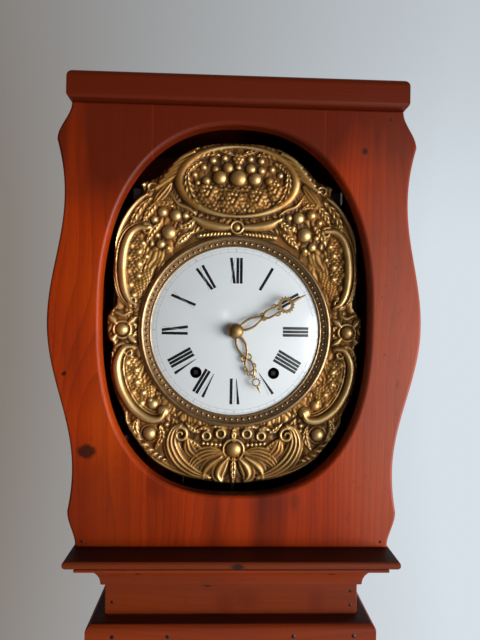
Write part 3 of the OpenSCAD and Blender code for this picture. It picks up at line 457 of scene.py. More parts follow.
def pine_figure():
    """Growth rings, broad stain streaks and fibres of a board whose grain runs along Z."""
    name = "Pine figure"
    if name in bpy.data.node_groups:
        return bpy.data.node_groups[name]
    group, given, result = new_group(
        name, [("Place", "NodeSocketVector"), ("Plank", "NodeSocketFloat"), ("Ring", "NodeSocketFloat")],
        ["Rings", "Streaks", "Fibre", "Plank tone", "Seam"])
    place, plank = given["Place"], given["Plank"]
    drawn_out = put(group, "ShaderNodeMapping", {0: place, 3: (1, 1, 0.35)}).outputs[0]
    wander = put(group, "ShaderNodeTexNoise",
                 {"Vector": drawn_out, "Scale": 5.0, "Detail": 2.0}).outputs["Color"]
    sway = vector(group, "MULTIPLY", vector(group, "SUBTRACT", wander, (0.5, 0.5, 0.5)), (0.05, 0.05, 0.0))
    bent = vector(group, "ADD", place, sway)
    across, deep, _ = put(group, "ShaderNodeSeparateXYZ", {0: bent}).outputs
    straight = put(group, "ShaderNodeSeparateXYZ", {0: place}).outputs[0]
    part = calc(group, "ADD", calc(group, "DIVIDE", straight, plank), 0.5)
    count = calc(group, "FLOOR", part)
    wave = calc(group, "SINE", calc(group, "MULTIPLY_ADD", count, 2.1, 3.997))
    chance = calc(group, "FRACT", calc(group, "MULTIPLY", wave, 7.3))
    beside = calc(group, "ABSOLUTE", calc(group, "SUBTRACT", calc(group, "FRACT", part), 0.5))
    local = calc(group, "SUBTRACT", across, calc(group, "MULTIPLY", count, plank))
    heart = calc(group, "SUBTRACT", local, calc(group, "MULTIPLY_ADD", chance, 0.16, -0.08))
    sunk = calc(group, "ADD", deep, calc(group, "MULTIPLY_ADD", chance, 0.09, 0.13))
    radius = calc(group, "SQRT", calc(group, "ADD", calc(group, "MULTIPLY", heart, heart),
                                      calc(group, "MULTIPLY", sunk, sunk)))
    phase = calc(group, "FRACT", calc(group, "DIVIDE", radius, given["Ring"]))
    give(result["Rings"], calc(group, "POWER", phase, 2.6))
    shifted = vector(group, "ADD", bent, (3.1, 0.0, 0.0))
    give(result["Streaks"], noise(group, shifted, 17.0, (1, 1, 0.075), 3.0))
    give(result["Fibre"], noise(group, place, 520.0, (1, 1, 0.02), 3.0, 0.6))
    give(result["Plank tone"], chance)
    give(result["Seam"], tuned(group, beside, 0.4965, 0.499, 0.0, 1.0))
    return group


def wear_patches():
    """Blotches, specks and scratches for any old surface."""
    name = "Old surface"
    if name in bpy.data.node_groups:
        return bpy.data.node_groups[name]
    group, given, result = new_group(
        name, [("Place", "NodeSocketVector"), ("Scale", "NodeSocketFloat")], ["Blotch", "Speck", "Scratch"])
    place = put(group, "ShaderNodeVectorMath", {0: given["Place"], 3: given["Scale"]},
                operation="SCALE").outputs[0]
    give(result["Blotch"], tuned(group, noise(group, place, 1.0, detail=4.0), 0.35, 0.68, 0, 1, True))
    give(result["Speck"], tuned(group, noise(group, place, 9.0, detail=3.0, rough=0.7), 0.6, 0.75, 0, 1))
    give(result["Scratch"], tuned(group, noise(group, place, 14.0, (6, 6, 0.5)), 0.57, 0.7, 0, 1))
    return group


def worn(tree, place, scale):
    """Blotch, Speck and Scratch on a material, at a scale."""
    return put(tree, "ShaderNodeGroup", {"Place": place, "Scale": scale}, node_tree=wear_patches()).outputs


# Marks in the wood: across and up from the dial centre, and half sizes, in metres
KNOTS = (
    (-0.1882, -0.1565, 0.0126, 0.0098),
    (0.1645, 0.2379, 0.0040, 0.0050),
    (-0.2185, -0.0580, 0.0028, 0.0034),
    (0.1983, 0.2796, 0.0020, 0.0022),
    (0.1936, -0.0282, 0.0016, 0.0020),
    (0.2118, -0.0661, 0.0016, 0.0052),
    (0.1894, 0.0466, 0.0022, 0.0011),
    (0.2074, 0.0864, 0.0013, 0.0017),
)
FRONT_CLOUDS = (
    (-0.1900, -0.2300, 0.1150, 0.1250),
    (-0.1750, -0.1880, 0.0220, 0.0480),
    (-0.1012, -0.1980, 0.0200, 0.0320),
    (0.0792, -0.2190, 0.0090, 0.0200),
    (-0.1364, 0.2882, 0.0280, 0.0200),
)
# Painted sheen on the hood front's right side, toward the window.
FRONT_SHEEN = ((0.2100, -0.0500, 0.1100, 0.4000),)
MOULDING_MARKS = ((-0.1170, -0.3035, 0.0034, 0.0013), (0.1250, -0.3035, 0.0058, 0.0011))
SHELF_MARKS = ((0.0055, -0.2842, 0.0090, 0.0036),)
NECK_MARKS = ((-0.0314, -0.3225, 0.0060, 0.0011),)
NECK_CLOUDS = (
    (-0.0080, -0.3430, 0.0200, 0.0240), (0.0200, -0.3390, 0.0260, 0.0200), (0.1074, -0.3408, 0.0160, 0.0240),
)
SHARP_SPOT = (0.60, 1.20)
SOFT_SPOT = (0.15, 1.0)
PLANK_W = 0.224
RING_W = 0.0052


def spot_mask(tree, place, spots, fade):
    """Ovals on boards around the dial, which fade out over a part of their half sizes."""
    mask = None
    for x, z, half_w, half_h in spots:
        moved = put(tree, "ShaderNodeMapping", {0: place, 1: (-x / half_w, 0, -(DIAL_Z + z) / half_h),
                                                3: (1 / half_w, 0.0, 1 / half_h)}).outputs[0]
        reach = put(tree, "ShaderNodeVectorMath", {0: moved}, operation="LENGTH").outputs["Value"]
        spot = tuned(tree, reach, *fade, 1.0, 0.0, True)
        mask = spot if mask is None else calc(tree, "MAXIMUM", mask, spot)
    return mask


def ragged(tree, place):
    """A place that is shaken a little, for marks with an uneven edge."""
    shake = put(tree, "ShaderNodeTexNoise", {"Vector": place, "Scale": 190.0, "Detail": 2.0}).outputs["Color"]
    shake = vector(tree, "MULTIPLY_ADD", shake, (0.0055, 0.0, 0.0055), (-0.00275, 0.0, -0.00275))
    return vector(tree, "ADD", place, shake)


@once
def pine(name, turn, dull=0.0, knots=(), clouds=(), sheen_spots=(), shade_above=None):
    """Stained pine; turn carries the piece's axes to a grain along Z, dull greys it toward the mouldings."""
    tones = bpy.context.scene.clock_colours
    tree, shader, own = material(name, Specular_IOR_Level=0.17, Coat_Weight=0.05, Coat_Roughness=0.30)
    place = put(tree, "ShaderNodeMapping", {0: own, 2: turn}).outputs[0]
    figure = put(tree, "ShaderNodeGroup", {"Place": place, "Plank": PLANK_W, "Ring": RING_W},
                 node_tree=pine_figure()).outputs
    old = worn(tree, own, 7.0)
    across, _, up = put(tree, "ShaderNodeSeparateXYZ", {0: own}).outputs
    normal = put(tree, "ShaderNodeTexCoord").outputs["Normal"]
    facing_up = put(tree, "ShaderNodeSeparateXYZ", {0: normal}).outputs[2]

    def some(value, share):
        return calc(tree, "MULTIPLY", value, share)

    tone = calc(tree, "MULTIPLY_ADD", figure["Streaks"], 1.6, -0.43)
    tone = calc(tree, "MULTIPLY_ADD", figure["Plank tone"], 0.26, tone)
    tone = calc(tree, "MULTIPLY_ADD", old["Blotch"], -0.16, tone)
    # Darker toward the top and the left: painted shade, with some darker stain.
    height = calc(tree, "MULTIPLY_ADD", across, -0.35, up)
    shade_and_stain_above = tuned(tree, height, DIAL_Z + 0.08, DIAL_Z + 0.33, 0.0, 0.54, True)
    tone = calc(tree, "SUBTRACT", tone, shade_and_stain_above)
    base = ramp(tree, tone, (0.08, tones.pine_dark), (0.92, tones.pine_light), (0.46, tones.pine_mid))
    layers = [
        (some(figure["Rings"], 0.30), tones.pine_dark),
        (tuned(tree, figure["Fibre"], 0.3, 0.7, 0.0, 0.28), tones.pine_dark),
        (some(figure["Seam"], 0.18), tones.pine_light),
    ]
    if dull > 0:
        layers.append((dull, tones.moulding_tint))
    if knots:
        layers.append((some(spot_mask(tree, ragged(tree, own), knots, SHARP_SPOT), 0.94), tones.knot))
    if clouds:
        layers.append((some(spot_mask(tree, own, clouds, SOFT_SPOT), 0.55), tones.pine_dark))
    # Painted sheen: paler patches toward the window.
    if sheen_spots:
        layers.append((some(spot_mask(tree, own, sheen_spots, SOFT_SPOT), 0.50), tones.pine_sheen))
    layers.append((some(old["Speck"], 0.30), tones.pine_dark))
    # Wood that faces up is darkened: mostly painted shade, partly dust.
    layers.append((tuned(tree, facing_up, 0.80, 0.98, 0.0, 0.78), tones.dust_and_top_shade))
    # Painted shade on wood inside the hood, above the hood front's foot.
    if shade_above is not None:
        layers.append((tuned(tree, up, shade_above, shade_above + 0.02, 0.0, 0.94), tones.hood_inside_shade))
    for share, tint in layers:
        base = blended(tree, share, base, tint)
    gloss = calc(tree, "MULTIPLY_ADD", figure["Fibre"], 0.22, 0.27 + 0.16 * dull)
    gloss = calc(tree, "MULTIPLY_ADD", old["Blotch"], 0.10, gloss)
    feed(shader, Base_Color=base, Roughness=gloss)
    grain = calc(tree, "MULTIPLY_ADD", figure["Fibre"], 0.5, some(figure["Rings"], -0.5))
    bumped(tree, shader, grain, 0.35, 0.0004)


UPRIGHT = (0.0, 0.0, 0.0)
LEVEL = (0.0, -math.pi / 2, 0.0)
# Pine by its use: name, way of the grain and what sets it apart
WOODS = {
    "upright": ("stained pine, upright", UPRIGHT, {}),
    "cheek": ("stained pine, cheeks", UPRIGHT, {"shade_above": FRONT_LOW.z}),
    "front": ("stained pine, hood front", UPRIGHT,
              {"knots": KNOTS, "clouds": FRONT_CLOUDS, "sheen_spots": FRONT_SHEEN}),
    "level": ("stained pine, level", LEVEL, {"dull": 0.12}),
    "moulding": ("moulding pine", LEVEL, {"dull": 0.62, "knots": MOULDING_MARKS}),
    "shelf": ("shelf pine", LEVEL, {"dull": 0.80, "knots": SHELF_MARKS}),
    "neck": ("neck pine", LEVEL, {"dull": 0.70, "knots": NECK_MARKS, "clouds": NECK_CLOUDS}),
}
# Metals: colour, colour of the dirt, roughness, share of dirt, scale of the dirt and lacquer
METALS = {
    "aged brass": ("brass_mid", "brass_dark", 0.27, 0.55, 60.0, 0.0),
    "worn brass": ("brass_worn", "brass_dark", 0.30, 0.45, 120.0, 0.90),
    "dull gilding": ("gilt", "brass_dark", 0.41, 0.50, 160.0, 0.0),
    "black iron": ("iron", "rust", 0.46, 0.6, 40.0, 0.0),
    "worked steel": ("steel", "tarnish", 0.30, 0.5, 90.0, 0.0),
}


def wood(use):
    """Pine for a use."""
    name, turn, rest = WOODS[use]
    return pine(name, turn, **rest)


@once
def metal(name):
    """Old metal: a rubbed tint, dark grime in blotches and, on some, what is left of a lacquer coat."""
    tones = bpy.context.scene.clock_colours
    tint, dark, rough, grime, scale, coat = METALS[name]
    tree, shader, own = material(name, Metallic=1.0, Coat_Weight=coat, Coat_Roughness=0.28, Coat_IOR=1.6)
    old = worn(tree, own, scale)
    dirt = calc(tree, "MULTIPLY", old["Blotch"], grime)
    dirt = calc(tree, "MULTIPLY_ADD", old["Speck"], 0.5 * grime, dirt)
    base = blended(tree, dirt, getattr(tones, tint), getattr(tones, dark))
    gloss = calc(tree, "MULTIPLY_ADD", dirt, 0.4, rough)
    gloss = calc(tree, "MULTIPLY_ADD", old["Scratch"], 0.06, gloss)
    feed(shader, Base_Color=base, Roughness=gloss)
    bumped(tree, shader, old["Speck"], 0.15, 0.0002)


@once
def pressed_brass(name):
    """Aged brass of the surround: bright on the high places and dark in the hollows."""
    tones = bpy.context.scene.clock_colours
    tree, shader, own = material(name, Coat_Weight=0.18, Coat_Roughness=0.30)
    hollow = put(tree, "ShaderNodeAttribute", attribute_name="hollow").outputs["Fac"]
    old = worn(tree, own, 45.0)
    depth = calc(tree, "MULTIPLY_ADD", old["Blotch"], 0.16, hollow)
    depth = calc(tree, "MULTIPLY_ADD", old["Speck"], 0.10, depth)
    base = ramp(tree, depth, (0.20, tones.brass_bright), (0.88, tones.brass_dark), (0.52, tones.brass_mid))
    lacquered = tuned(tree, noise(tree, own, 26.0), 0.48, 0.70, 0.0, 0.55)
    feed(shader, Base_Color=blended(tree, lacquered, base, tones.lacquer),
         Roughness=tuned(tree, depth, 0.2, 0.9, 0.46, 0.62),
         Metallic=tuned(tree, depth, 0.3, 1.0, 0.86, 0.60))
    bumped(tree, shader, noise(tree, own, 900.0, detail=3.0), 0.12, 0.0003)


@once
def dial_enamel(name):
    """Glossy white enamel with faint stains."""
    tones = bpy.context.scene.clock_colours
    tree, shader, own = material(name, Specular_IOR_Level=0.4, Coat_Weight=0.4, Coat_Roughness=0.10)
    blotch = worn(tree, own, 16.0)["Blotch"]
    cracks = put(tree, "ShaderNodeTexVoronoi", {"Vector": own, "Scale": 21.0},
                 feature="DISTANCE_TO_EDGE").outputs[0]
    line = calc(tree, "MULTIPLY", tuned(tree, cracks, 0.0, 0.008, 0.07, 0.0), blotch)
    base = blended(tree, calc(tree, "MULTIPLY", blotch, 0.10), tones.enamel, tones.enamel_stain)
    feed(shader, Base_Color=blended(tree, line, base, tones.crack),
         Roughness=calc(tree, "MULTIPLY_ADD", blotch, 0.06, 0.16))
    bumped(tree, shader, noise(tree, own, 30.0, detail=1.0), 0.04, 0.0008)


@once
def painted(name, tint):
    """Paint of the numerals and the minute track, a little uneven; the pale strip of painted light on one ear
    takes it too.
    """
    tree, shader, own = material(name, Specular_IOR_Level=0.4)
    speck = noise(tree, own, 900.0, detail=3.0)
    light = [min(1.0, 1.6 * c + 0.010) for c in tint]
    feed(shader, Base_Color=blended(tree, tuned(tree, speck, 0.4, 0.75, 0.0, 1.0), tint, light),
         Roughness=tuned(tree, speck, 0.3, 0.7, 0.22, 0.40))


@once
def clear_glass(name):
    """Old window glass, faintly green."""
    tint = bpy.context.scene.clock_colours.glass
    tree, shader, own = material(name, Metallic=0.0, Transmission_Weight=1.0, IOR=1.5, Base_Color=tint)
    waves = noise(tree, own, 14.0, detail=1.0)
    feed(shader, Roughness=tuned(tree, waves, 0.3, 0.7, 0.02, 0.06))
    bumped(tree, shader, waves, 0.10, 0.0010)


@once
def hemp(name):
    """Twisted weight line."""
    tint = bpy.context.scene.clock_colours.cord
    tree, shader, own = material(name, Sheen_Weight=0.2)
    speck = noise(tree, own, 1400.0, (1, 1, 0.2), 3.0)
    dark = [0.35 * c for c in tint]
    feed(shader, Base_Color=blended(tree, tuned(tree, speck, 0.35, 0.7, 0.0, 0.8), tint, dark),
         Roughness=tuned(tree, speck, 0.3, 0.7, 0.7, 0.95))


@once
def pale_floor(name):
    """Plain pale floor with a little variation."""
    tint = bpy.context.scene.clock_colours.floor
    tree, shader, own = material(name, Specular_IOR_Level=0.2, Roughness=0.75)
    feed(shader, Base_Color=blended(tree, noise(tree, own, 3.0, detail=3.0), tint, [0.93 * c for c in tint]))


# Hood front

# Knots of the wavy edge: height from the dial centre, half width and how the edge comes to it, in millimetres
WAVE = (
    (-278.5, 201.0, "ease"), (-232.5, 212.0, "leave"), (-182.0, 207.0, "ease"), (10.0, 242.5, "ease"),
    (171.0, 223.0, "reach"), (243.0, 233.5, "ease"), (292.0, 215.5, "ease"),
)
WAVE_STEPS = 40
FLAT_STEPS = 60
# The mouth's centre above the dial's, its half sizes and its fullness; an arris by its angle in radians
MOUTH_UP = 28.0
MOUTH_HALF_W = 175.5
MOUTH_HALF_H = 240.0
FULL_TOP = 2.27
FULL_FOOT = 2.6
ARRIS = 0.8


def eased(t, way):
    """Share of a step in the edge: soft at both ends, at its start or at its end."""
    if way == "ease":
        return (1 - math.cos(math.pi * t)) / 2
    return t * t if way == "reach" else 1 - (1 - t) ** 2


def wave_edge():
    """The hood front's right edge from foot to head, in millimetres from the dial centre."""
    points = []
    for (z0, x0, way), (z1, x1, _) in zip(WAVE[:-1], WAVE[1:]):
        for i in range(WAVE_STEPS):
            t = i / WAVE_STEPS
            points.append((x0 + (x1 - x0) * eased(t, way), z0 + (z1 - z0) * t))
    points.append((WAVE[-1][1], WAVE[-1][0]))
    return points


def oval_reach(half_w, half_h):
    """Radius by angle of an oval that is fuller in its lower half."""
    def reach(angle):
        c, s = abs(math.cos(angle)), abs(math.sin(angle))
        e = FULL_FOOT if math.sin(angle) < 0 else FULL_TOP
        return ((c / half_w) ** e + (s / half_h) ** e) ** (-1 / e)
    return reach


class CLOCK_OT_hood_front(bpy.types.Operator):
    """Make the wavy hood front with its rounded oval mouth"""

    bl_idname = "clock.hood_front"
    bl_label = "Hood front"

    def execute(self, context):
        sizes = context.scene.clock_sizes
        turn, reach = self.outline(2 * sizes.outline_ease / MM)
        mouth = oval_reach(MOUTH_HALF_W, MOUTH_HALF_H)
        bm = bmesh.new()
        inner, outer = double_ring(bm, len(turn), 1.0)

        def by_angle(v):
            return math.atan2(v.co.y, v.co.x)

        for verts, spans in ((inner, [mouth(a) for a in turn]), (outer, reach)):
            for v, a, r in zip(sorted(verts, key=by_angle), turn, spans):
                up = MOUTH_UP + r * math.sin(a)
                v.co = Vector((r * math.cos(a) * MM, FRONT_LOW.y, DIAL_Z + up * MM))
        bmesh.ops.recalc_face_normals(bm, faces=bm.faces)
        if bm.faces[:][0].normal.y > 0:
            bmesh.ops.reverse_faces(bm, faces=bm.faces)
        thickened(bm, list(bm.faces), FRONT_HIGH.y - FRONT_LOW.y)
        bmesh.ops.recalc_face_normals(bm, faces=bm.faces)
        at_front = [e for e in bm.edges if all(abs(v.co.y - FRONT_LOW.y) < WELD for v in e.verts)
                    and e.calc_face_angle(0.0) > ARRIS]
        centre = Vector((0, FRONT_LOW.y, DIAL_Z + MOUTH_UP * MM))

        def on_mouth(e):
            p = (e.verts[0].co + e.verts[1].co) / 2 - centre
            return p.length < 1.02 * MM * mouth(math.atan2(p.z, p.x))

        mouth_edges = [e for e in at_front if on_mouth(e)]
        wave_edges = [e for e in at_front if not on_mouth(e)]
        rounded(bm, mouth_edges, sizes.mouth_round, 5, clamp=False)
        rounded(bm, wave_edges, sizes.outline_ease, 3, clamp=False)
        finished(bm, "hood_front", CASE_BODY, wood("front"), "hood_front_board", even=True)
        return {"FINISHED"}

    def outline(self, clear):
        """Angles and radii of the board's edge about the mouth; leaves out points too near a corner."""
        right = wave_edge()
        low_end, high_end = right[0][1], right[-1][1]
        right = [(x, z) for x, z in right
                 if z in (low_end, high_end) or low_end + clear < z < high_end - clear]
        left = [(-x, z) for x, z in reversed(right)]
        loop = right + left
        for (x0, z0), (x1, z1) in ((right[-1], left[0]), (left[-1], right[0])):
            for t in np.linspace(0, 1, FLAT_STEPS)[1:-1]:
                loop.append((x0 + (x1 - x0) * t, z0 + (z1 - z0) * t))
        turn = np.array([math.atan2(z - MOUTH_UP, x) for x, z in loop])
        reach = np.array([math.hypot(x, z - MOUTH_UP) for x, z in loop])
        order = np.argsort(turn)
        return turn[order], reach[order]


# Boards and mouldings: the frame's node, the piece and its use
BOARDS = (
    ("hood_sides", "hood_sides_wood", "upright"),
    ("hood_back_board", "hood_back_wood", "upright"),
    ("trunk_sides", "trunk_sides_wood", "cheek"),
    ("trunk_back_board", "trunk_back_wood", "upright"),
    ("trunk_front_frame", "trunk_front_frame_wood", "upright"),
    ("base_front_panel", "base_front_panel_wood", "upright"),
    ("base_sides", "base_sides_wood", "upright"),
    ("hood_shelf", "hood_shelf_wood", "shelf"),
    ("base_floor", "base_floor_wood", "level"),
    ("seat_board", "seat_board_wood", "cheek"),
)
MOULDINGS = (
    ("cove_moulding", "cove_moulding_wood", "moulding"),
    ("neck_front_board", "neck_front_wood", "neck"),
    ("trunk_collar", "trunk_collar_wood", "moulding"),
    ("base_moulding", "base_moulding_wood", "moulding"),
    ("plinth", "plinth_wood", "moulding"),
)


class CLOCK_OT_case_boards(bpy.types.Operator):
    """Ease the edges of the case's plain boards and finish them as stained pine"""

    bl_idname = "clock.case_boards"
    bl_label = "Case boards"

    def execute(self, context):
        sizes = context.scene.clock_sizes
        for node, name, use in BOARDS:
            bm = eased_copy(node, sizes.board_ease)
            finished(bm, name, CASE_BODY, wood(use), node, even=True)
        bm = bmesh.new()
        low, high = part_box("hood_top_board")
        block(bm, low, high)
        for level, offset in ((high.z, sizes.top_round), (low.z, 0.55 * sizes.top_round)):
            rim = [e for e in bm.edges if all(abs(v.co.z - level) < WELD for v in e.verts)]
            rounded(bm, rim, offset, 6)
        finished(bm, "hood_top_wood", CASE_BODY, wood("level"), "hood_top_board", even=True)
        return {"FINISHED"}


class CLOCK_OT_mouldings(bpy.types.Operator):
    """Ease and finish the cove, the neck, the collar, the base moulding and the plinth"""

    bl_idname = "clock.mouldings"
    bl_label = "Mouldings"

    def execute(self, context):
        ease = context.scene.clock_sizes.moulding_ease
        for node, name, use in MOULDINGS:
            bm = eased_copy(node, ease)
            finished(bm, name, CASE_BODY, wood(use), node, even=True)
        return {"FINISHED"}


class CLOCK_OT_door(bpy.types.Operator):
    """Finish the trunk door, its oval window, hinges, knob and latch"""

    bl_idname = "clock.door"
    bl_label = "Trunk door"

    def execute(self, context):
        sizes = context.scene.clock_sizes
        finished(eased_copy("trunk_door", sizes.board_ease), "door_wood", "door",
                 wood("upright"), "trunk_door", even=True)
        for node, name, body, slot, finish in (
                ("glass_bezel", "window_ring", "door", "aged_brass", "aged brass"),
                ("door_hinge_leaves", "door_hinges", "door", "aged_brass", "aged brass"),
                ("frame_hinge_leaves", "frame_hinges", CASE_BODY, "aged_brass", "aged brass"),
                ("door_knob", "turned_knob", "latch", "aged_brass", "aged brass"),
                ("latch_tongue", "latch_blade", "latch", "iron", "black iron")):
            finished(eased_copy(node, sizes.fitting_ease), name, body, metal(finish), node)
        dress(clear_glass("window glass"), "door_glass")
        return {"FINISHED"}


# Pressed brass surround: all places are millimetres from the dial centre, the right half mirrored to the left

SILHOUETTE = (
    (0, 253.5), (33, 252), (61, 244), (86, 228), (106, 207), (119, 200), (129, 196), (127, 186), (131, 180),
    (147, 160), (159, 136), (163, 112), (164, 66), (159, 38), (164, 28), (170.5, 18), (171, 0), (169, -12),
    (163, -20), (166, -38), (165, -62), (158, -88), (147, -112), (143, -128), (129, -150), (107, -175),
    (71, -194), (38, -201), (14, -204), (0, -205),
)


# The field that the relief is worked out on (half width, foot and head), and how far it runs under the bezel
FIELD = (173.0, -207.0, 256.0)
UNDER_BEZEL = 2.0


def arch(side):
    """Height of a half round at a share of its half width."""
    return np.sqrt(np.clip(1 - side * side, 0, 1))


class Relief:
    """Heights of a pressed sheet over a field of points, in millimetres."""

    def __init__(self, x, z):
        self.x = x
        self.z = z
        self.h = np.zeros_like(x)

    def lift(self, where, height):
        """Keep the higher of what is there and a new form."""
        self.h[where] = np.maximum(self.h[where], height)

    def near(self, x, z, r):
        """Points in the square around a circle."""
        return np.nonzero((np.abs(self.x - x) < r) & (np.abs(self.z - z) < r))

    def dome(self, x, z, r, h, foot=0.0, fine=0.55):
        """A round fruit, bead or boss."""
        at = self.near(x, z, r)
        d2 = ((self.x[at] - x) ** 2 + (self.z[at] - z) ** 2) / r ** 2
        self.lift(at, np.where(d2 < 1, foot + h * np.clip(1 - d2, 0, 1) ** fine, 0))

    def ring(self, x, z, r, w, h, foot=0.0):
        """A round moulding."""
        at = self.near(x, z, r + w)
        d = (np.hypot(self.x[at] - x, self.z[at] - z) - r) / w
        self.lift(at, np.where(np.abs(d) < 1, foot + h * arch(d), 0))

    def trace(self, path):
        """Points beside a path of (x, z, half width): which, their share of its length and their side."""
        w = path[:, 2].max()
        at = np.nonzero((self.x > path[:, 0].min() - w) & (self.x < path[:, 0].max() + w)
                        & (self.z > path[:, 1].min() - w) & (self.z < path[:, 1].max() + w))
        x, z = self.x[at], self.z[at]
        best = np.full(x.shape, 9.0)
        share = np.zeros_like(x)
        side = np.zeros_like(x)
        for k in range(len(path) - 1):
            a, b = path[k], path[k + 1]
            dx, dz = b[0] - a[0], b[1] - a[1]
            px, pz = x - a[0], z - a[1]
            t = np.clip((px * dx + pz * dz) / max(dx * dx + dz * dz, 1e-6), 0, 1)
            far = np.hypot(px - t * dx, pz - t * dz) / (a[2] + t * (b[2] - a[2]))
            closer = far < best
            best[closer] = far[closer]
            share[closer] = ((k + t) / (len(path) - 1))[closer]
            side[closer] = (np.sign(dx * pz - dz * px) * far)[closer]
        inside = best < 1
        return tuple(i[inside] for i in at), share[inside], side[inside]

    def along(self, points, h, foot, count, profile):
        """A form along a curve; profile gives its height by the share of the length and the side."""
        at, share, side = self.trace(through(points, count))
        self.lift(at, foot + h * profile(share, side))

    def roll(self, points, h, foot=0.0, count=28):
        """A smooth round moulding along a curve."""
        self.along(points, h, foot, count, lambda share, side: arch(side))

    def moulding(self, points, h, foot=0.0):
        """A scroll with a broad roll and two narrow ones inside it; the inside is on the path's left."""
        def profile(share, side):
            broad = arch((side + 0.34) / 0.66)
            narrow = 0.66 * arch((side - 0.50) / 0.18)
            thread = 0.50 * arch((side - 0.84) / 0.15)
            return np.maximum.reduce((broad, narrow, thread, np.full_like(side, 0.22)))
        self.along(points, h, foot, 32, profile)

    def flutes(self, points, h, lobes, foot=0.0):
        """A plume of parallel hollows along a curve."""
        def profile(share, side):
            body = np.sqrt(np.clip(1 - 0.8 * side * side, 0, 1))
            return body * (0.62 + 0.38 * np.abs(np.cos(0.5 * math.pi * lobes * side)))
        self.along(points, h, foot, 24, profile)

    def leaf(self, points, h, veins, foot=0.0):
        """A leaf with a sunk middle vein and side veins."""
        def profile(share, side):
            middle = 1 - 0.38 * np.exp(-(side / 0.16) ** 2)
            ribs = 1 + 0.16 * np.cos(2 * math.pi * (veins * share - 0.9 * np.abs(side)))
            return arch(side) * middle * ribs
        self.along(points, h, foot, 20, profile)

    def frond(self, points, h, ribs, foot=0.0):
        """A band of short ribs set across a curve."""
        def profile(share, side):
            return (0.35 + 0.65 * np.abs(np.sin(math.pi * (ribs * share + 0.35 * side)))) * arch(side)
        self.along(points, h, foot, 24, profile)

    def grains(self, x, z, cell, fill):
        """Uneven small domes, one near the middle of each square cell: 0 between them and 1 on their tops."""
        best = np.zeros_like(x)
        for i in (-1, 0, 1):
            for j in (-1, 0, 1):
                a, b = np.floor(x / cell) + i, np.floor(z / cell) + j
                one = np.mod(43758.5453 * np.sin(12.9898 * a + 78.233 * b), 1.0)
                two = np.mod(24634.6345 * np.sin(39.346 * a + 11.135 * b), 1.0)
                px = (a + 0.5 * one + 0.5 * np.mod(b, 2)) * cell
                pz = (b + 0.25 + 0.5 * two) * cell
                d2 = ((x - px) ** 2 + (z - pz) ** 2) / (fill * cell * (0.85 + 0.4 * one)) ** 2
                best = np.maximum(best, (0.75 + 0.25 * two) * np.sqrt(np.clip(1 - d2, 0, 1)))
        return best

    def pebbles(self, at, cell, h, foot):
        """Chased ground: grains drawn out into small leaves that turn this way and that."""
        x, z = self.x[at], self.z[at]
        u = x + 3.2 * np.sin(0.13 * z + 0.8) + 1.6 * np.sin(0.31 * x)
        v = 0.56 * z + 0.45 * x + 3.0 * np.sin(0.11 * x - 0.4) + 1.3 * np.sin(0.29 * z)
        self.lift(at, foot + h * self.grains(u, v, cell, 0.52))

    def berries(self, x, z, half_w, half_h, pitch, h, foot, swell):
        """Packed small domes inside an oval bunch."""
        at = np.nonzero(((self.x - x) / half_w) ** 2 + ((self.z - z) / half_h) ** 2 < 1)
        px, pz = self.x[at] - x, self.z[at] - z
        bunch = np.sqrt(np.clip(1 - (px / half_w) ** 2 - (pz / half_h) ** 2, 0, 1))
        self.lift(at, foot + swell * bunch + h * self.grains(px, pz, pitch, 0.56))

    def scales(self, x, z, half_w, half_h, tilt, pitch, h, foot):
        """A panel of overlapping scales inside a tilted oval."""
        c, s = math.cos(math.radians(tilt)), math.sin(math.radians(tilt))
        u = (self.x - x) * c + (self.z - z) * s
        v = -(self.x - x) * s + (self.z - z) * c
        at = np.nonzero((u / half_w) ** 2 + (v / half_h) ** 2 < 1)
        u, v = u[at] + 0.9 * np.sin(0.31 * v[at]), v[at] + 0.9 * np.sin(0.37 * u[at])
        swell = np.sqrt(np.clip(1 - (u / half_w) ** 2 - (v / half_h) ** 2, 0, 1))
        row = np.floor(v / (0.62 * pitch))
        across = np.mod(u / pitch + 0.5 * np.mod(row, 2), 1.0) - 0.5
        rise = np.mod(v / (0.62 * pitch), 1.0)
        arc = np.clip(1 - (2 * across) ** 2, 0, 1)
        self.lift(at, foot + 1.4 * swell + h * arc * (1 - 0.75 * rise))

    def volute(self, x, z, r, start, turns, w, h, foot=0.0):
        """A spiral curl that tightens to its eye."""
        t = np.linspace(0, 1, 30)
        angle = math.radians(start) + 2 * math.pi * turns * t
        radius = r * (1 - 0.78 * t)
        path = np.stack((x + radius * np.cos(angle), z + radius * np.sin(angle), w * (1 - 0.45 * t)), axis=1)
        at, _, side = self.trace(path)
        self.lift(at, foot + h * arch(side))


# Fruit in the crown's cartouche: across, up, radius
CROWN_FRUIT = (
    (0.4, 205.0, 11.0), (-24.4, 205.5, 9.4), (22.8, 204.5, 8.7), (-13.5, 218.5, 7.2), (17.0, 218.0, 6.8),
    (-42.5, 201.0, 5.6), (42.5, 202.0, 5.8), (-30.5, 216.5, 5.0), (31.5, 216.5, 5.0), (-34.0, 229.0, 4.6),
    (-46.5, 219.5, 4.4), (31.0, 229.5, 4.6), (-58.5, 209.5, 3.9), (-18.5, 232.5, 4.0), (45.5, 218.5, 4.4),
    (57.0, 210.5, 4.0), (16.5, 232.0, 4.0), (-54.0, 198.0, 3.6), (53.5, 198.0, 3.6), (0.0, 220.0, 4.4),
)


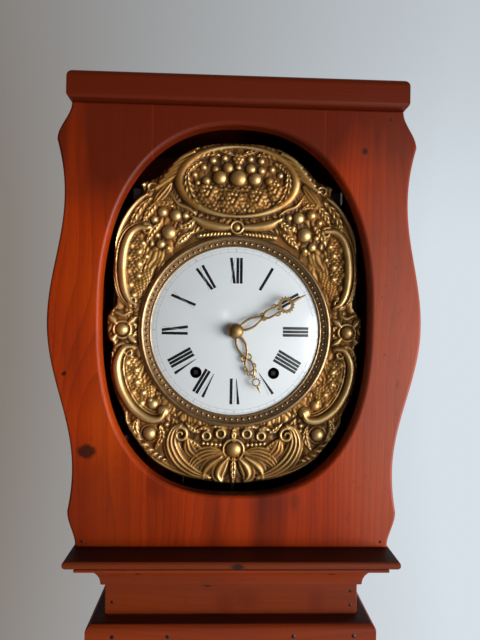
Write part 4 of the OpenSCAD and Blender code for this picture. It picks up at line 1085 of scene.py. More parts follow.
def crown(form):
    """The oval cartouche of fruit and grapes at the top."""
    around = np.linspace(0, 2 * math.pi, 49)
    half_wide = 2.4 + 5.4 * np.abs(np.cos(around)) ** 1.2
    rim = np.stack((78 * np.cos(around), 201 + 47 * np.sin(around), half_wide), axis=1)
    at = np.nonzero((form.x / 76) ** 2 + ((form.z - 201) / 44) ** 2 < 1)
    form.lift(at, 1.3 + 1.4 * np.clip(1 - (form.x[at] / 76) ** 2 - ((form.z[at] - 201) / 44) ** 2, 0, 1))
    form.pebbles(at, 7.5, 2.0, 1.2)
    form.berries(0, 176, 66, 22, 5.6, 2.2, 1.8, 2.0)
    for x, half_w in ((-40, 16), (-6, 19), (26, 15), (50, 11)):
        form.berries(x, 175 + 0.006 * x * x, half_w, 15, 5.6, 2.2, 2.0, 3.6)
    form.roll([(-56, 191, 1.5), (-20, 189.5, 1.8), (20, 189.5, 1.8), (56, 191, 1.5)], 2.0, 3.0)
    for s in (-1, 1):
        form.leaf([(s * 26, 236, 2), (s * 42, 238, 6), (s * 60, 228, 1)], 4.5, 5, 1.5)
        form.leaf([(s * 50, 226, 2), (s * 62, 220, 5), (s * 70, 206, 1)], 4.0, 5, 1.5)
        form.leaf([(s * 6, 236, 1.5), (s * 16, 241, 4), (s * 28, 243, 1)], 4.0, 4, 1.5)
        form.leaf([(s * 46, 186, 1.5), (s * 60, 192, 5), (s * 70, 199, 1)], 4.0, 4, 1.5)
        form.leaf([(s * 67, 214, 2), (s * 68, 198, 6), (s * 61, 178, 6), (s * 46, 163, 1.5)], 5.4, 7, 1.5)
    for k in range(6):
        a = math.radians(60 * k)
        form.dome(4.6 * math.cos(a), 231.5 + 4.6 * math.sin(a), 3.6, 2.6, 3.0)
    form.dome(0, 231.5, 2.8, 3.2, 3.4)
    for x, z, r in CROWN_FRUIT:
        form.dome(x, z, 1.08 * r, 0.62 * r + 1.0, 2.6)
    at, _, side = form.trace(rim)
    form.lift(at, 6.2 * arch(side) + 0.6)


def shoulder(form):
    """Plumes, wing leaf, fruit spray and ribbon beside the crown."""
    form.pebbles(np.nonzero((np.hypot(form.x, form.z) > 143) & (form.z > -125)), 7.0, 2.4, 0.6)
    for k in range(6):
        u = k / 5
        form.roll([(54 + 24 * u, 247 - 36 * u, 2.4), (68 + 24 * u, 240 - 38 * u, 3.8),
                   (79 + 30 * u, 230 - 40 * u, 4.2)], 5.2 - 0.5 * u, 1.0, 14)
    form.flutes([(90, 196, 3), (96, 188, 7), (104, 178, 7), (112, 168, 2)], 4.4, 3.0, 0.8)
    form.dome(127.5, 195, 4.9, 4.6, 0.8)
    form.volute(115, 190, 7, 150, -1.1, 2.2, 4.0, 0.8)
    form.roll([(121, 181, 2), (138, 168, 5.0), (152, 148, 6.0), (159, 128, 4.0), (162, 112, 1.2)], 5.4, 0.6)
    form.leaf([(116, 176, 2), (130, 163, 6), (139, 146, 5), (141, 134, 1)], 4.4, 6, 0.6)
    form.leaf([(106, 172, 2), (117, 160, 6.5), (125, 146, 1.5)], 4.2, 5, 0.6)
    form.scales(92, 178, 15, 9, -38, 4.2, 1.3, 1.4)
    form.leaf([(56, 150, 2), (66, 141, 6), (79, 136, 1.5)], 4.2, 5, 0.8)
    form.leaf([(62, 131, 2), (72, 124, 6), (82, 113, 1.5)], 4.0, 5, 0.8)
    form.leaf([(104, 142, 2), (113, 132, 6), (120, 118, 1.5)], 4.2, 5, 0.8)
    form.leaf([(88, 166, 2), (98, 170, 5), (110, 166, 1)], 4.0, 4, 0.8)
    for x, z, r in ((91, 130.5, 10.2), (82.5, 153.5, 8.6), (100, 158, 7.2), (101.5, 115, 6.2),
                    (111, 148, 5.2), (70, 154, 5.0), (76, 140, 4.0), (107, 127, 4.2), (92, 110, 4.0),
                    (118, 158, 3.6)):
        form.dome(x, z, r, 0.62 * r + 1.2, 1.2)
    form.flutes([(10, 139.5, 4.2), (26, 140, 6.2), (44, 144, 6.6), (60, 152, 2.0)], 4.8, 1.0, 0.8)
    form.frond([(10, 131, 2.4), (30, 130, 3.4), (52, 127, 2.2)], 2.6, 9, 0.8)
    form.roll([(58, 158, 1.5), (66, 164, 3), (80, 170, 2.4), (90, 184, 1.0)], 3.4, 0.8)


def flank(form):
    """Upper and lower C-scrolls with their scale panels, and the boss between them."""
    form.pebbles(np.nonzero((np.hypot(form.x, form.z) < 150) & (form.x > 86)), 6.4, 1.7, 0.5)
    form.scales(139, 92, 15, 40, 9, 6.4, 1.7, 1.2)
    form.scales(127, 62, 9, 24, 32, 5.2, 1.4, 1.0)
    for x, z, r in ((141, 112, 5.4), (145, 96, 5.8), (145, 78, 6.0), (142, 60, 5.6), (137, 46, 4.4),
                    (131, 104, 4.8), (131, 88, 5.0), (131, 72, 4.6), (126, 116, 4.0), (121, 98, 3.6)):
        form.dome(x, z, r, 2.8, 2.2, 0.8)
    form.moulding([(120, 138, 6), (133, 138, 8), (145.5, 128, 9.4), (153, 108, 10), (155, 78, 10),
                   (151, 52, 9), (143, 37, 7), (135, 33, 4)], 7.2, 0.6)
    form.volute(121, 134, 7.5, 70, 1.2, 3.0, 5.4, 0.6)
    form.volute(137, 38, 7.0, -60, 1.1, 2.6, 5.0, 0.6)
    form.dome(150.5, 0, 9.0, 6.6, 1.6)
    form.ring(150.5, 0, 11.2, 2.2, 4.4, 0.8)
    for s in (-1, 1):
        form.roll([(158, s * 7, 1.6), (163, s * 13, 4.8), (168, s * 18, 1)], 5.2, 0.8)
        form.roll([(143, s * 7, 1.6), (138, s * 12.5, 4.6), (132, s * 17, 1)], 5.2, 0.8)
        form.leaf([(133, s * 2, 1.2), (134.5, s * 7, 2.6), (139.5, s * 5, 1)], 3.8, 2, 0.8)
        form.roll([(141, s * 23, 1.4), (150, s * 19, 3.0), (159, s * 23, 1.4)], 4.2, 0.6)
    form.scales(138, -66, 14, 36, -12, 6.4, 1.7, 1.2)
    form.scales(122, -88, 12, 18, 40, 5.2, 1.4, 1.0)
    for x, z, r in ((144, -44, 5.8), (143, -64, 6.4), (136, -84, 6.2), (124, -98, 5.2), (132, -54, 4.4),
                    (131, -70, 4.4), (122, -84, 4.6), (112, -94, 4.2)):
        form.dome(x, z, r, 2.8, 2.2, 0.8)
    form.moulding([(94, -109, 4), (101, -116, 8), (116, -114, 9.6), (134, -100, 10), (148, -75, 10),
                   (153, -47, 9.6), (146, -27, 7.4), (136, -24, 4)], 7.2, 0.6)
    form.dome(95, -109, 8.4, 6.2, 0.8, 0.5)
    form.dome(109, -99, 7.4, 4.6, 0.8, 0.5)
    form.volute(141, -30, 6.5, 60, -1.1, 2.6, 5.0, 0.6)


def foot(form):
    """Rosette, acanthus scrolls, fruit and fronds at the bottom."""
    form.flutes([(148, -114, 3), (138, -138, 7), (120, -160, 8), (94, -180, 8), (66, -192, 6), (40, -198, 3)],
                4.2, 4.0, 0.5)
    form.frond([(140, -124, 2), (126, -146, 5), (108, -165, 6), (90, -174, 3)], 4.4, 8, 0.8)
    form.leaf([(128, -118, 2), (132, -130, 6), (124, -146, 1.5)], 4.4, 5, 0.6)
    form.leaf([(98, -128, 2), (96, -142, 6), (104, -158, 1.5)], 4.4, 5, 0.6)
    form.dome(112.5, -138, 9.4, 6.8, 1.4)
    form.ring(112.5, -138, 11.4, 1.6, 2.4, 0.6)
    for k in range(5):
        form.dome(90 - 0.8 * k, -126 - 7 * k, 3.4, 2.6, 1.4)
    form.flutes([(32, -196, 3), (54, -188, 9), (73, -173, 12), (83, -152, 11), (80, -134, 7), (71, -127, 3)],
                6.4, 4.0, 0.6)
    form.volute(71, -139, 10, 80, 1.25, 3.2, 5.8, 0.8)
    form.pebbles(np.nonzero((np.hypot(form.x, form.z) > 134) & (form.z < -125)), 9.0, 1.6, 0.4)
    form.pebbles(np.nonzero((np.hypot(form.x, form.z) < 140) & (form.z < -98)), 6.0, 1.7, 0.5)
    form.flutes([(62, -146, 4), (58, -160, 9), (44, -172, 4)], 4.6, 3.0, 0.8)
    form.flutes([(16, -163, 4), (34, -164, 11), (50, -172, 12), (60, -186, 5)], 4.8, 5.0, 0.8)
    form.flutes([(8, -170, 3), (17, -180, 9.5), (21, -192, 9), (16, -201, 3)], 6.2, 2.0, 1.0)
    form.flutes([(16, -168, 3), (30, -178, 9.5), (38, -188, 8), (40, -198, 2)], 5.4, 2.0, 1.0)
    for x, z, r in ((17.5, -137.5, 5.6), (36.5, -140.5, 5.2)):
        form.ring(x, z, r, 2.2, 4.2, 0.8)
        form.leaf([(x - 3, z + 7, 1.5), (x + 4, z + 10, 3.4), (x + 12, z + 8, 1)], 3.4, 3, 0.6)
    form.leaf([(48, -136, 1.5), (56, -132, 4.2), (64, -124, 1)], 4.0, 4, 0.6)
    for k in range(5):
        form.dome(18.5 + 5.6 * k, -152.5 + 0.5 * k, 2.9, 3.2, 1.6)
    form.leaf([(44, -156, 1.5), (52, -152, 4.2), (60, -144, 1)], 4.0, 4, 0.6)


def middle_marks(form):
    """Medallion above the bezel and the rosette's boss and stem, on the middle line."""
    form.ring(0, 139.5, 8.0, 2.0, 4.4, 1.0)
    form.dome(0, 139.5, 5.6, 3.0, 2.0, 0.8)
    form.leaf([(0, -168, 2.5), (0, -184, 5.0), (0, -203, 1.5)], 5.2, 5, 0.8)
    form.leaf([(0, -150, 2), (0, -140, 4.4), (0, -131, 1)], 4.4, 3, 0.8)
    form.dome(0, -158.5, 11.4, 7.4, 1.6)
    form.ring(0, -158.5, 13.6, 2.2, 4.4, 0.8)


def box_blur(a, n):
    """Mean over a square window, edges held."""
    for axis in (0, 1):
        padded = np.pad(a, [(n, n) if k == axis else (0, 0) for k in (0, 1)], mode="edge")
        total = np.cumsum(padded, axis=axis)
        lead = np.take(total, range(2 * n, total.shape[axis]), axis=axis)
        lag = np.take(total, range(0, total.shape[axis] - 2 * n), axis=axis)
        a = (lead - lag) / (2 * n)
    return a


class CLOCK_OT_surround(bpy.types.Operator):
    """Press the brass surround: cartouche, scrolls, bosses and rosette in relief"""

    bl_idname = "clock.surround"
    bl_label = "Brass surround"

    def execute(self, context):
        pitch = context.scene.clock_sizes.relief_pitch / MM
        half = through(SILHOUETTE, 240)
        turn = np.arctan2(half[:, 1], half[:, 0])
        reach = np.hypot(half[:, 0], half[:, 1])
        order = np.argsort(turn)
        turn, reach = turn[order], reach[order]

        def outer(angle):
            right = angle if abs(angle) <= math.pi / 2 else math.copysign(math.pi, angle) - angle
            return float(np.interp(right, turn, reach))

        inside = BEZEL_R / MM - UNDER_BEZEL
        half_w, low, high = FIELD
        mid, half_h = (low + high) / 2, (high - low) / 2
        bm = trimmed_grid(half_w, half_h, mid, pitch, (0, 0, outer), [(0, 0, lambda angle: inside)])
        columns = int(round(2 * half_w / pitch))
        rows = int(round(2 * half_h / pitch))
        x, z = np.meshgrid(np.linspace(-half_w, half_w, columns + 1), np.linspace(low, high, rows + 1))
        angle = np.arctan2(z, np.abs(x))
        relief, hollow = self.press(x, z, np.interp(angle, turn, reach), inside, angle)
        keep = bm.verts.layers.float.new("hollow")
        for v in bm.verts:
            i = int(round((v.co.z - low) / (high - low) * rows))
            j = int(round((v.co.x + half_w) / (2 * half_w) * columns))
            i, j = min(max(i, 0), rows), min(max(j, 0), columns)
            v[keep] = float(hollow[i, j])
            v.co = Vector((v.co.x * MM, SHEET_FRONT - float(relief[i, j]) * MM, DIAL_Z + v.co.z * MM))
        rims = [e for e in bm.edges if e.is_boundary]
        for v in verts_of(bmesh.ops.extrude_edge_only(bm, edges=rims)["geom"]):
            v.co.y = SHEET_HIGH.y
        bmesh.ops.bridge_loops(bm, edges=[e for e in bm.edges if e.is_boundary])
        finished(bm, "pressed_surround", CASE_BODY, pressed_brass("pressed brass"),
                 "brass_surround", 70.0)
        return {"FINISHED"}

    def press(self, x, z, rim, inside, angle):
        """Heights of the sheet over a field of points, and how dark each point is made: deep in a hollow, on
        low ground and toward the sheet's top and bottom.
        """
        right = Relief(np.abs(x), z)
        for part in (shoulder, flank, foot):
            part(right)
        whole = Relief(x, z)
        whole.h = right.h
        middle_marks(whole)
        crown(whole)
        out = np.hypot(x, z)
        edge = rim - out
        bowl = 1.6 * np.clip(edge / 22, 0, 1) ** 0.6
        dish = 4.2 * np.clip((out - inside) / (rim - inside), 0, 1) * np.clip(edge / 3.0, 0, 1) ** 0.5
        bowl += np.cos(angle) ** 2 * (dish - bowl)
        relief = bowl + whole.h * np.clip(edge / 2.2, 0.12, 1) ** 0.5
        relief = 0.55 * relief + 0.45 * box_blur(relief, 1)
        sunk = 0.30 * (box_blur(relief, 4) - relief) + 0.10 * (box_blur(relief, 10) - relief)
        hollow = np.clip(0.5 + sunk, 0, 1)
        # Also darker on low ground and toward the top and the bottom of the sheet.
        hollow += 0.10 * np.clip(2.4 - relief, 0, 2.4) + 0.13 * np.clip((np.abs(z - 12) - 125) / 40, 0, 1)
        return relief, np.clip(hollow, 0, 1)


class CLOCK_OT_bezel(bpy.types.Operator):
    """Turn the bezel and set its row of beads"""

    bl_idname = "clock.bezel"
    bl_label = "Bezel"

    def execute(self, context):
        sizes = context.scene.clock_sizes
        place = Vector((0, SHEET_FRONT, DIAL_Z))
        roll_r, lip_r = 3.9 * MM, 1.4 * MM
        roll_at = BEZEL_R - roll_r
        lip_at = BEZEL_R - 15.0 * MM
        roll_f, floor_f, fall = 4.0 * MM, 2.8 * MM, 0.6 * MM
        profile = [(BEZEL_R, 0.0)]
        for a in np.linspace(0, math.pi, 13):
            profile.append((roll_at + roll_r * math.cos(a), roll_f + roll_r * math.sin(a)))
        profile += [(roll_at - roll_r, floor_f + fall), (lip_at + lip_r, floor_f - fall)]
        for a in np.linspace(0, math.pi, 9):
            profile.append((lip_at + lip_r * math.cos(a), floor_f - fall + 0.65 * lip_r * math.sin(a)))
        profile += [(lip_at - lip_r, 0.55 * MM), (lip_at + lip_r, 0.3 * MM)]
        bm = bmesh.new()
        spun(bm, profile, place, 180)
        finished(bm, "turned_bezel", CASE_BODY, metal("worn brass"), "bezel", 50.0)
        bm = bmesh.new()
        row_r = (roll_at - roll_r + lip_at + lip_r) / 2
        for k in range(sizes.bead_count):
            a = math.tau * k / sizes.bead_count
            at = Matrix.Translation(place + Vector((row_r * math.cos(a), -floor_f, row_r * math.sin(a))))
            bmesh.ops.create_icosphere(bm, subdivisions=2, radius=sizes.bead_r, matrix=at)
        finished(bm, "bezel_beads", CASE_BODY, metal("worn brass"), smooth=80.0)
        return {"FINISHED"}


# Dial

NUMERALS = ("I", "II", "III", "IIII", "V", "VI", "VII", "VIII", "IX", "X", "XI", "XII")
HAND_HOLE_R = 5.6 * MM
WINDING_HOLE_R = 7.75 * MM


class CLOCK_OT_dial(bpy.types.Operator):
    """Make the domed enamel dial with its winding holes, numerals and minute track"""

    bl_idname = "clock.dial"
    bl_label = "Enamel dial"

    def execute(self, context):
        sizes, tones = context.scene.clock_sizes, context.scene.clock_colours
        self.enamel()
        thick, thin = bmesh.new(), bmesh.new()
        for hour, text in enumerate(NUMERALS, 1):
            for stroke in numeral_strokes(text, sizes):
                draw_stroke(thick if stroke[4] else thin, math.radians(90 - 30 * hour), stroke)
        self.track(thin, sizes)
        for bm, name, finish in ((thick, "dial_numerals", painted("numeral black", tones.ink)),
                                 (thin, "dial_minute_track", painted("worn black", tones.worn_ink))):
            self.lay(bm)
            finished(bm, name, CASE_BODY, finish)
        return {"FINISHED"}

    def enamel(self):
        """The domed plate, cut for the hands and the two winding squares."""
        holes = [(0, 0, lambda angle: HAND_HOLE_R)]
        for node in ("going_barrel", "strike_barrel"):
            low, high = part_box(node)
            holes.append(((low.x + high.x) / 2, (low.z + high.z) / 2 - DIAL_Z, lambda angle: WINDING_HOLE_R))
        edge = DIAL_R - 1.0 * MM
        bm = trimmed_grid(edge, edge, 0, 2.0 * MM, (0, 0, lambda angle: edge), holes)
        for v in bm.verts:
            v.co = Vector((v.co.x, dial_face(math.hypot(v.co.x, v.co.z)), DIAL_Z + v.co.z))
        thickened(bm, list(bm.faces), DIAL_T)
        bmesh.ops.recalc_face_normals(bm, faces=bm.faces)
        finished(bm, "domed_dial", CASE_BODY, dial_enamel("dial enamel"), "enamel_dial", 50.0)

    def track(self, bm, sizes):
        """Two fine circles with a tick at each minute."""
        line = 0.35 * MM
        for r in (sizes.track_in, sizes.track_out):
            inner, outer = double_ring(bm, 240, r - line / 2)
            bmesh.ops.scale(bm, vec=((r + line / 2) / (r - line / 2),) * 3, verts=outer)
            for v in inner + outer:
                v.co = Vector((v.co.x, 0, v.co.y))
        for minute in range(60):
            width = 0.9 * MM if minute % 5 == 0 else line
            tick = (0, 0, sizes.track_in, sizes.track_out, True, width, width)
            draw_stroke(bm, math.radians(6 * minute), tick)

    def lay(self, bm):
        """Bend flat marks onto the dome and give them a little body."""
        proud, body = 0.10 * MM, 0.22 * MM
        for v in bm.verts:
            v.co = Vector((v.co.x, dial_face(math.hypot(v.co.x, v.co.z)) - proud, DIAL_Z + v.co.z))
        bmesh.ops.recalc_face_normals(bm, faces=bm.faces)
        turned = [f for f in bm.faces if f.normal.y > 0]
        bmesh.ops.reverse_faces(bm, faces=turned)
        thickened(bm, list(bm.faces), body)
        bmesh.ops.recalc_face_normals(bm, faces=bm.faces)


def numeral_strokes(text, sizes):
    """Strokes of a numeral: across at foot and head, foot, head, whether thick, width at foot and head."""
    step, lean, point = 4.7 * MM, 2.9 * MM, 0.5 * MM
    thick, hair = sizes.stroke_w, sizes.hairline_w
    # Each letter's width, and its strokes: across at foot and head, whether thick, width at foot and head
    letters = {
        "I": (step, ((0.0, 0.0, True, thick, thick),)),
        "V": (1.9 * step, ((0.0, -lean, True, point, 1.05 * thick), (0.0, lean, False, hair, hair))),
        "X": (1.8 * step, ((0.8 * lean, -0.8 * lean, True, thick, thick),
                           (-0.9 * lean, 0.9 * lean, False, hair, hair))),
    }
    at = -sum(letters[c][0] for c in text) / 2
    strokes = []
    for c in text:
        width, parts = letters[c]
        mid = at + width / 2
        for foot, head, *rest in parts:
            strokes.append((mid + foot, mid + head, sizes.numeral_in, sizes.numeral_out, *rest))
        at += width
    return strokes


def draw_stroke(bm, angle, stroke):
    """Lay one stroke flat in X and Z about the dial centre, its head outward at an angle from +X."""
    across_foot, across_head, foot, head, _, width_foot, width_head = stroke
    made = bmesh.ops.create_grid(bm, x_segments=1, y_segments=6, size=1.0)["verts"]
    out = Vector((math.cos(angle), 0, math.sin(angle)))
    side = Vector((math.sin(angle), 0, -math.cos(angle)))
    for v in made:
        t = (v.co.y + 1) / 2
        half = (width_foot + (width_head - width_foot) * t) / 2
        across = across_foot + (across_head - across_foot) * t + v.co.x * half
        v.co = out * (foot + (head - foot) * t) + side * across


# Hands

HAND_FLAT = 0.45
STRAND_GAIN = 1.22
TOOTH = 2.2


def hand_turn(node):
    """Turn about the dial's axis from straight up to where the frame's hand points."""
    low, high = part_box(node)
    mid = (low + high) / 2
    return math.atan2(mid.x, mid.z - DIAL_Z)


def strand(points, count=18):
    """A strand of a hand: (across, along, radius) in millimetres, as a wire path in metres."""
    return [(x * MM, 0.0, z * MM, STRAND_GAIN * r * MM) for x, z, r in through(points, count)]


def pair(points):
    """The same strand on both sides of the middle."""
    return [points, [(-x, z, r) for x, z, r in points]]


def toothed_ring(bm, z, inner, outer, teeth, y0, y1):
    """A flat ring with pointed teeth."""
    rim, grown = double_ring(bm, 4 * teeth, inner * MM)
    for v in grown:
        turn = math.atan2(v.co.y, v.co.x) * teeth
        reach = outer - TOOTH + TOOTH * max(0.0, math.cos(turn)) ** 0.8
        v.co = v.co.normalized() * reach * MM
    verts = rim + grown
    for v in verts:
        v.co = Vector((v.co.x, y0, z * MM + v.co.y))
    ring = set(verts)
    thickened(bm, [f for f in bm.faces if ring.issuperset(f.verts)], y1 - y0)


class CLOCK_OT_hands(bpy.types.Operator):
    """Work the pierced gilt hands and their domed boss"""

    bl_idname = "clock.hands"
    bl_label = "Hands"

    def execute(self, context):
        minute = pair([(2.2, 6, 1.5), (5.2, 15, 1.4), (5.6, 25, 1.3), (3.0, 35, 1.2), (0.2, 41, 1.2)])
        minute += pair([(0.0, 40, 1.2), (4.4, 46, 1.2), (4.8, 54, 1.2), (4.2, 62, 1.2), (5.0, 68, 1.1)])
        minute += pair([(0.0, 41, 1.2), (3.0, 38.5, 1.1), (4.8, 41.5, 1.0), (3.4, 44.0, 0.9)])
        minute += pair([(4.4, 56, 1.0), (7.4, 58.5, 0.9), (7.2, 62.5, 0.8), (5.2, 62, 0.6)])
        minute += [[(0, 40, 2.6), (0, 43, 2.6)], [(0, 85, 1.9), (0, 92, 1.4), (0, 100, 0.9), (0, 106, 0.25)]]
        self.make("gilt_minute_hand", "minute", minute, (75.0, 6.2, 12.4, 16), 8.2, 3.5, "minute_hand")
        hour = pair([(2.2, 8, 1.5), (5.2, 15, 1.4), (5.8, 23, 1.3), (3.2, 32, 1.2), (0.2, 38, 1.2)])
        hour += pair([(0.0, 37, 1.2), (4.0, 34.5, 1.0), (6.6, 37, 0.9), (6.2, 41, 0.8), (3.6, 41.5, 0.7)])
        hour += pair([(0.0, 38, 1.2), (4.4, 45, 1.2), (4.8, 52, 1.2), (2.6, 60, 1.1), (-1.6, 66, 1.0)])
        hour += pair([(0.0, 58, 1.0), (4.2, 56, 0.9), (6.0, 59, 0.8), (4.8, 62, 0.7)])
        hour += pair([(4.6, 48, 1.0), (7.6, 50, 0.9), (7.4, 53.5, 0.8), (5.6, 53.5, 0.6)])
        hour += [[(0, 37, 2.3), (0, 40, 2.3)], [(0, 79, 1.8), (0, 84, 1.1), (0, 88, 0.3)]]
        self.make("gilt_hour_hand", "hour", hour, (73.0, 3.8, 7.4, 12), 9.0, 5.2, "hour_hand")
        low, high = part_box("hand_boss")
        r, h, rim = (high.x - low.x) / 2, high.y - low.y, 0.8 * MM
        profile = [(0, 0), (r, 0), (r, rim)]
        for k in range(1, 13):
            a = math.pi / 2 * k / 12
            profile.append((r * 0.985 * math.cos(a), rim + (h - rim) * math.sin(a)))
        bm = bmesh.new()
        spun(bm, profile, Vector((0, high.y, DIAL_Z)), 64, closed=False)
        finished(bm, "gilt_boss", "minute", metal("dull gilding"), "hand_boss", 60.0)
        return {"FINISHED"}

    def make(self, name, body, paths, ring, hub_r, bore_r, node):
        """One hand from its strands, a toothed ring (along, radii, teeth) and a hub, set like the frame's."""
        front, back = (corner.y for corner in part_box(node))
        bm = wire([strand(points) for points in paths], HAND_FLAT)
        bmesh.ops.translate(bm, vec=(0, (front + back) / 2, 0), verts=bm.verts)
        toothed_ring(bm, *ring, front, back)
        hub = [(bore_r * MM, -back), (hub_r * MM, -back), (hub_r * MM, -front), (bore_r * MM, -front)]
        spun(bm, hub, Vector((0, 0, 0)), 48)
        bmesh.ops.rotate(bm, cent=(0, 0, 0), matrix=Matrix.Rotation(hand_turn(node), 3, "Y"), verts=bm.verts)
        bmesh.ops.translate(bm, vec=(0, 0, DIAL_Z), verts=bm.verts)
        bmesh.ops.recalc_face_normals(bm, faces=bm.faces)
        finished(bm, name, body, metal("dull gilding"), node, 45.0)


# Movement, pendulum and weights

class CLOCK_OT_movement(bpy.types.Operator):
    """Finish the movement, the bell and the dial plate"""

    bl_idname = "clock.movement"
    bl_label = "Movement"

    def execute(self, context):
        dress(metal("black iron"), "dial_plate", "cage_plates", "cage_pillars", "front_bars", "rear_bars",
              "suspension_cock", "bell_stand", "hammer", "going_barrel", "strike_barrel")
        dress(metal("aged brass"), "anchor_cock", "going_great_wheel", "second_wheel", "third_wheel",
              "escape_wheel", "cannon_wheel", "hour_wheel", "strike_great_wheel", "pin_wheel")
        dress(metal("worked steel"), "anchor", "fly")
        self.ears(context.scene.clock_colours.light_gap_tint)
        finished(eased_copy("bell", 0.4 * MM), "cast_bell", CASE_BODY, metal("dull gilding"),
                 "bell", 50.0)
        return {"FINISHED"}

    def ears(self, light_gap_tint):
        """Two ears of the dial plate beside the surround, one with a pale lip of painted light."""
        foot, head = DIAL_Z + 174 * MM, DIAL_Z + 190 * MM
        near, far = 118 * MM, 140.4 * MM
        face, back = SHEET_HIGH.y, SHEET_HIGH.y + 1.5 * MM
        ears, lip = bmesh.new(), bmesh.new()
        for left, right in ((-far, -near), (near, far)):
            block(ears, (left, face, foot), (right, back, head))
        # The pale lip stands for light showing through a gap: painted light.
        block(lip, (far - 0.2 * MM, face - 5 * MM, foot), (far + 1.6 * MM, back, head))
        finished(ears, "plate_ears", CASE_BODY, metal("black iron"))
        finished(lip, "ear_lip_painted_light", CASE_BODY, painted("painted light strip", light_gap_tint))


class CLOCK_OT_pendulum(bpy.types.Operator):
    """Finish the pendulum, the weights and their lines"""

    bl_idname = "clock.pendulum"
    bl_label = "Pendulum and weights"

    def execute(self, context):
        dress(metal("black iron"), "pendulum_rod")
        dress(metal("aged brass"), "rating_nut")
        finished(eased_copy("pendulum_bob", 0.5 * MM, 25.0), "lens_bob", "pendulum",
                 metal("aged brass"), "pendulum_bob", 30.0)
        for side in ("going", "strike"):
            finished(eased_copy(side + "_weight", 1.2 * MM, 30.0), side + "_iron_weight", side + "_load",
                     metal("black iron"), side + "_weight")
            self.line(side, context.scene.clock_sizes.line_twist)
        return {"FINISHED"}

    def line(self, side, twist):
        """A three-strand twisted line along the frame's line."""
        low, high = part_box(side + "_line")
        r = (high.x - low.x) / 2
        mid = (low + high) / 2
        length = high.z - low.z
        steps = int(round(length / twist * 10))
        bm = bmesh.new()
        ring = bmesh.ops.create_circle(bm, cap_ends=True, segments=12, radius=r)["verts"]
        for v in ring:
            lobe = 0.80 + 0.20 * abs(math.cos(1.5 * math.atan2(v.co.y, v.co.x)))
            v.co = Vector((v.co.x * lobe, v.co.y * lobe, 0))
        bmesh.ops.spin(bm, geom=bm.verts[:] + bm.edges[:] + bm.faces[:], cent=(0, 0, 0), axis=(0, 0, 1),
                       dvec=(0, 0, length / steps), angle=math.tau * length / twist, steps=steps,
                       use_merge=False)
        bmesh.ops.remove_doubles(bm, verts=bm.verts, dist=WELD)
        ends = 0.1 * MM
        inner = [f for f in bm.faces
                 if len(f.verts) > 4 and ends < f.calc_center_median().z < length - ends]
        bmesh.ops.delete(bm, geom=inner, context="FACES_ONLY")
        bmesh.ops.recalc_face_normals(bm, faces=bm.faces)
        bmesh.ops.translate(bm, vec=(mid.x, mid.y, low.z), verts=bm.verts)
        piece = finished(bm, side + "_twisted_line", CASE_BODY, hemp("hemp line"), side + "_line",
                         80.0)
        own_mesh(piece)


# Small fastenings

class CLOCK_OT_nails(bpy.types.Operator):
    """Drive the nails that show in the boards and mouldings"""

    bl_idname = "clock.nails"
    bl_label = "Nails"

    def execute(self, context):
        sizes = context.scene.clock_sizes
        neck_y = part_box("neck_front_board")[0].y
        collar_low, collar_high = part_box("trunk_collar")
        collar_z = (collar_low.z + collar_high.z) / 2
        # Each head: its place and its size as a share of the usual one
        heads = [(x, FRONT_LOW.y, FRONT_LOW.z + 0.008, 0.8) for x in (-0.1915, 0.1915)]
        heads += [(x, neck_y, DIAL_Z + up, scale) for x, up, scale in (
            (-0.1505, -0.343, 0.9), (0.1515, -0.3295, 0.8), (0.1515, -0.347, 0.9))]
        heads += [(x, collar_low.y, collar_z + 0.006, 1.15) for x in (-0.145, -0.078, 0.0755, 0.150)]
        bm = bmesh.new()
        for x, y, z, scale in heads:
            r = sizes.nail_r * scale
            profile = [(0, -1.2 * MM), (r, -1.2 * MM), (r, 0.15 * MM), (0.75 * r, 0.5 * MM), (0, 0.65 * MM)]
            spun(bm, profile, Vector((x, y, z)), 16, closed=False)
        finished(bm, "case_nails", CASE_BODY, metal("black iron"))
        return {"FINISHED"}


# Stage

WALL_DARK, WALL_LIGHT, WALL_DUSK = (0.235, 0.205, 0.180), (0.680, 0.745, 0.800), (0.20, 0.21, 0.22)
ROOM_LIGHT, ROOM_SEEN = (0.052, 0.050, 0.048), (0.36, 0.37, 0.38)
AIM = Vector((0, FRONT_LOW.y, DIAL_Z - 0.05))
WINDOW = Vector((2.5, -2.65, DIAL_Z - 0.50))
BESIDE_WINDOW = WINDOW - Vector((1, 0, 0))
GLOW = Vector((1.05, -2.6, DIAL_Z - 0.60))
LAMP = Vector((-0.10, -2.46, DIAL_Z + 0.24))


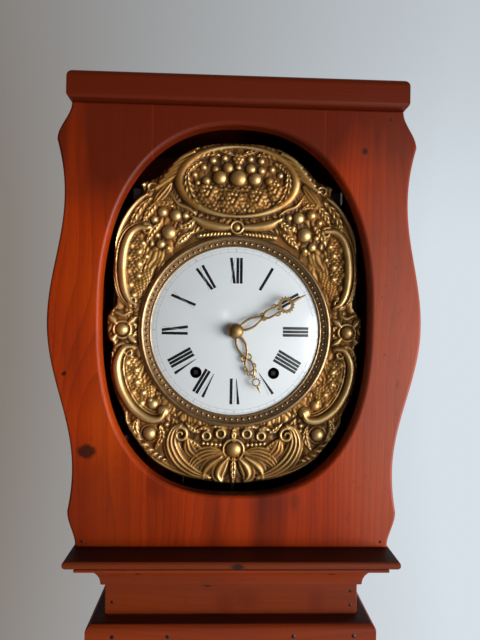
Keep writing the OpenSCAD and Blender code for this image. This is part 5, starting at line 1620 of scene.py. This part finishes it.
class CLOCK_OT_stage(bpy.types.Operator):
    """Set the floor, the soft light and the camera"""

    bl_idname = "clock.stage"
    bl_label = "Stage"

    def execute(self, context):
        settings = context.scene.clock_stage
        bm = bmesh.new()
        bmesh.ops.create_circle(bm, cap_ends=True, segments=96, radius=settings.floor_r)
        mesh = bpy.data.meshes.new("floor")
        bm.to_mesh(mesh)
        bm.free()
        mesh.materials.append(pale_floor("pale floor"))
        ground = bpy.data.objects.new("floor", mesh)
        context.scene.collection.objects.link(ground)
        for name, at, aim, width, height, power, tint in (
                ("window", WINDOW, BESIDE_WINDOW, 3.6, 1.9, settings.window_power, (0.95, 0.98, 1.0)),
                ("glow", GLOW, AIM, 1.2, 1.0, settings.glow_power, (1.0, 0.97, 0.93)),
                ("lamp", LAMP, AIM, 0.10, 0.10, settings.lamp_power, (1.0, 0.97, 0.92))):
            data = bpy.data.lights.new(name, "AREA")
            data.shape = "RECTANGLE"
            data.size, data.size_y = width, height
            data.energy = power
            data.color = tint
            light = bpy.data.objects.new(name, data)
            light.location = at
            light.visible_camera = False
            light.rotation_euler = (aim - at).to_track_quat("-Z", "Y").to_euler()
            context.scene.collection.objects.link(light)
        self.sky(context)
        self.camera(context, settings)
        context.scene.view_settings.view_transform = "Standard"
        return {"FINISHED"}

    def sky(self, context):
        """Pale wall light behind, brighter to the right, and a dimmer room in front."""
        world = bpy.data.worlds.new("room")
        world.use_nodes = True
        context.scene.world = world
        tree = world.node_tree
        aim = put(tree, "ShaderNodeTexCoord").outputs["Generated"]
        across, back, up = put(tree, "ShaderNodeSeparateXYZ", {0: aim}).outputs
        wall = blended(tree, tuned(tree, across, -0.36, 0.36, 0.0, 1.0), WALL_DARK, WALL_LIGHT)
        wall = blended(tree, tuned(tree, up, 0.10, 0.52, 0.0, 0.32, True), wall, WALL_DUSK)
        seen = put(tree, "ShaderNodeLightPath").outputs["Is Camera Ray"]
        front = blended(tree, seen, ROOM_LIGHT, ROOM_SEEN)
        room = blended(tree, tuned(tree, back, 0.10, 0.62, 0.0, 1.0, True), front, wall)
        give(tree.nodes["Background"].inputs["Color"], room)

    def camera(self, context, settings):
        """A camera at the photograph's place."""
        data = bpy.data.cameras.new("photograph")
        data.sensor_width = 36.0
        data.sensor_fit = "AUTO"
        data.lens = settings.lens
        camera = bpy.data.objects.new("photograph", data)
        camera.location = (settings.camera_x, FRONT_LOW.y - settings.stand_off, DIAL_Z + settings.camera_up)
        turn = Matrix.Rotation(-settings.yaw, 3, "Z") @ Matrix.Rotation(math.pi / 2 - settings.pitch, 3, "X")
        camera.rotation_euler = (turn @ Matrix.Rotation(settings.roll, 3, "Z")).to_euler()
        context.scene.collection.objects.link(camera)
        context.scene.camera = camera


OPERATORS = (
    CLOCK_OT_stage, CLOCK_OT_hood_front, CLOCK_OT_case_boards, CLOCK_OT_mouldings, CLOCK_OT_door,
    CLOCK_OT_surround, CLOCK_OT_bezel, CLOCK_OT_dial, CLOCK_OT_hands, CLOCK_OT_movement, CLOCK_OT_pendulum,
    CLOCK_OT_nails,
)


class CLOCK_PT_panel(bpy.types.Panel):
    """Lists the clock's pieces and settings"""

    bl_idname = "CLOCK_PT_panel"
    bl_label = "Comtoise clock"
    bl_space_type = "VIEW_3D"
    bl_region_type = "UI"
    bl_category = "Clock"

    def draw(self, context):
        for operator in OPERATORS:
            self.layout.operator(operator.bl_idname)
        for group in (context.scene.clock_sizes, context.scene.clock_colours, context.scene.clock_stage):
            for name in group.bl_rna.properties.keys():
                if name not in ("rna_type", "name"):
                    self.layout.prop(group, name)


GROUPS = {"clock_sizes": CLOCK_PG_sizes, "clock_colours": CLOCK_PG_colours, "clock_stage": CLOCK_PG_stage}


def register():
    """Make the settings, operators and panel known."""
    for cls in (*GROUPS.values(), *OPERATORS, CLOCK_PT_panel):
        bpy.utils.register_class(cls)
    for name, group in GROUPS.items():
        setattr(bpy.types.Scene, name, PointerProperty(type=group))


def unregister():
    """Take the settings, operators and panel away again."""
    for name in GROUPS:
        delattr(bpy.types.Scene, name)
    for cls in reversed((*GROUPS.values(), *OPERATORS, CLOCK_PT_panel)):
        bpy.utils.unregister_class(cls)


def main():
    """Build every piece in order."""
    register()
    for operator in OPERATORS:
        group, action = operator.bl_idname.split(".")
        getattr(getattr(bpy.ops, group), action)()


if __name__ == "__main__":
    main()
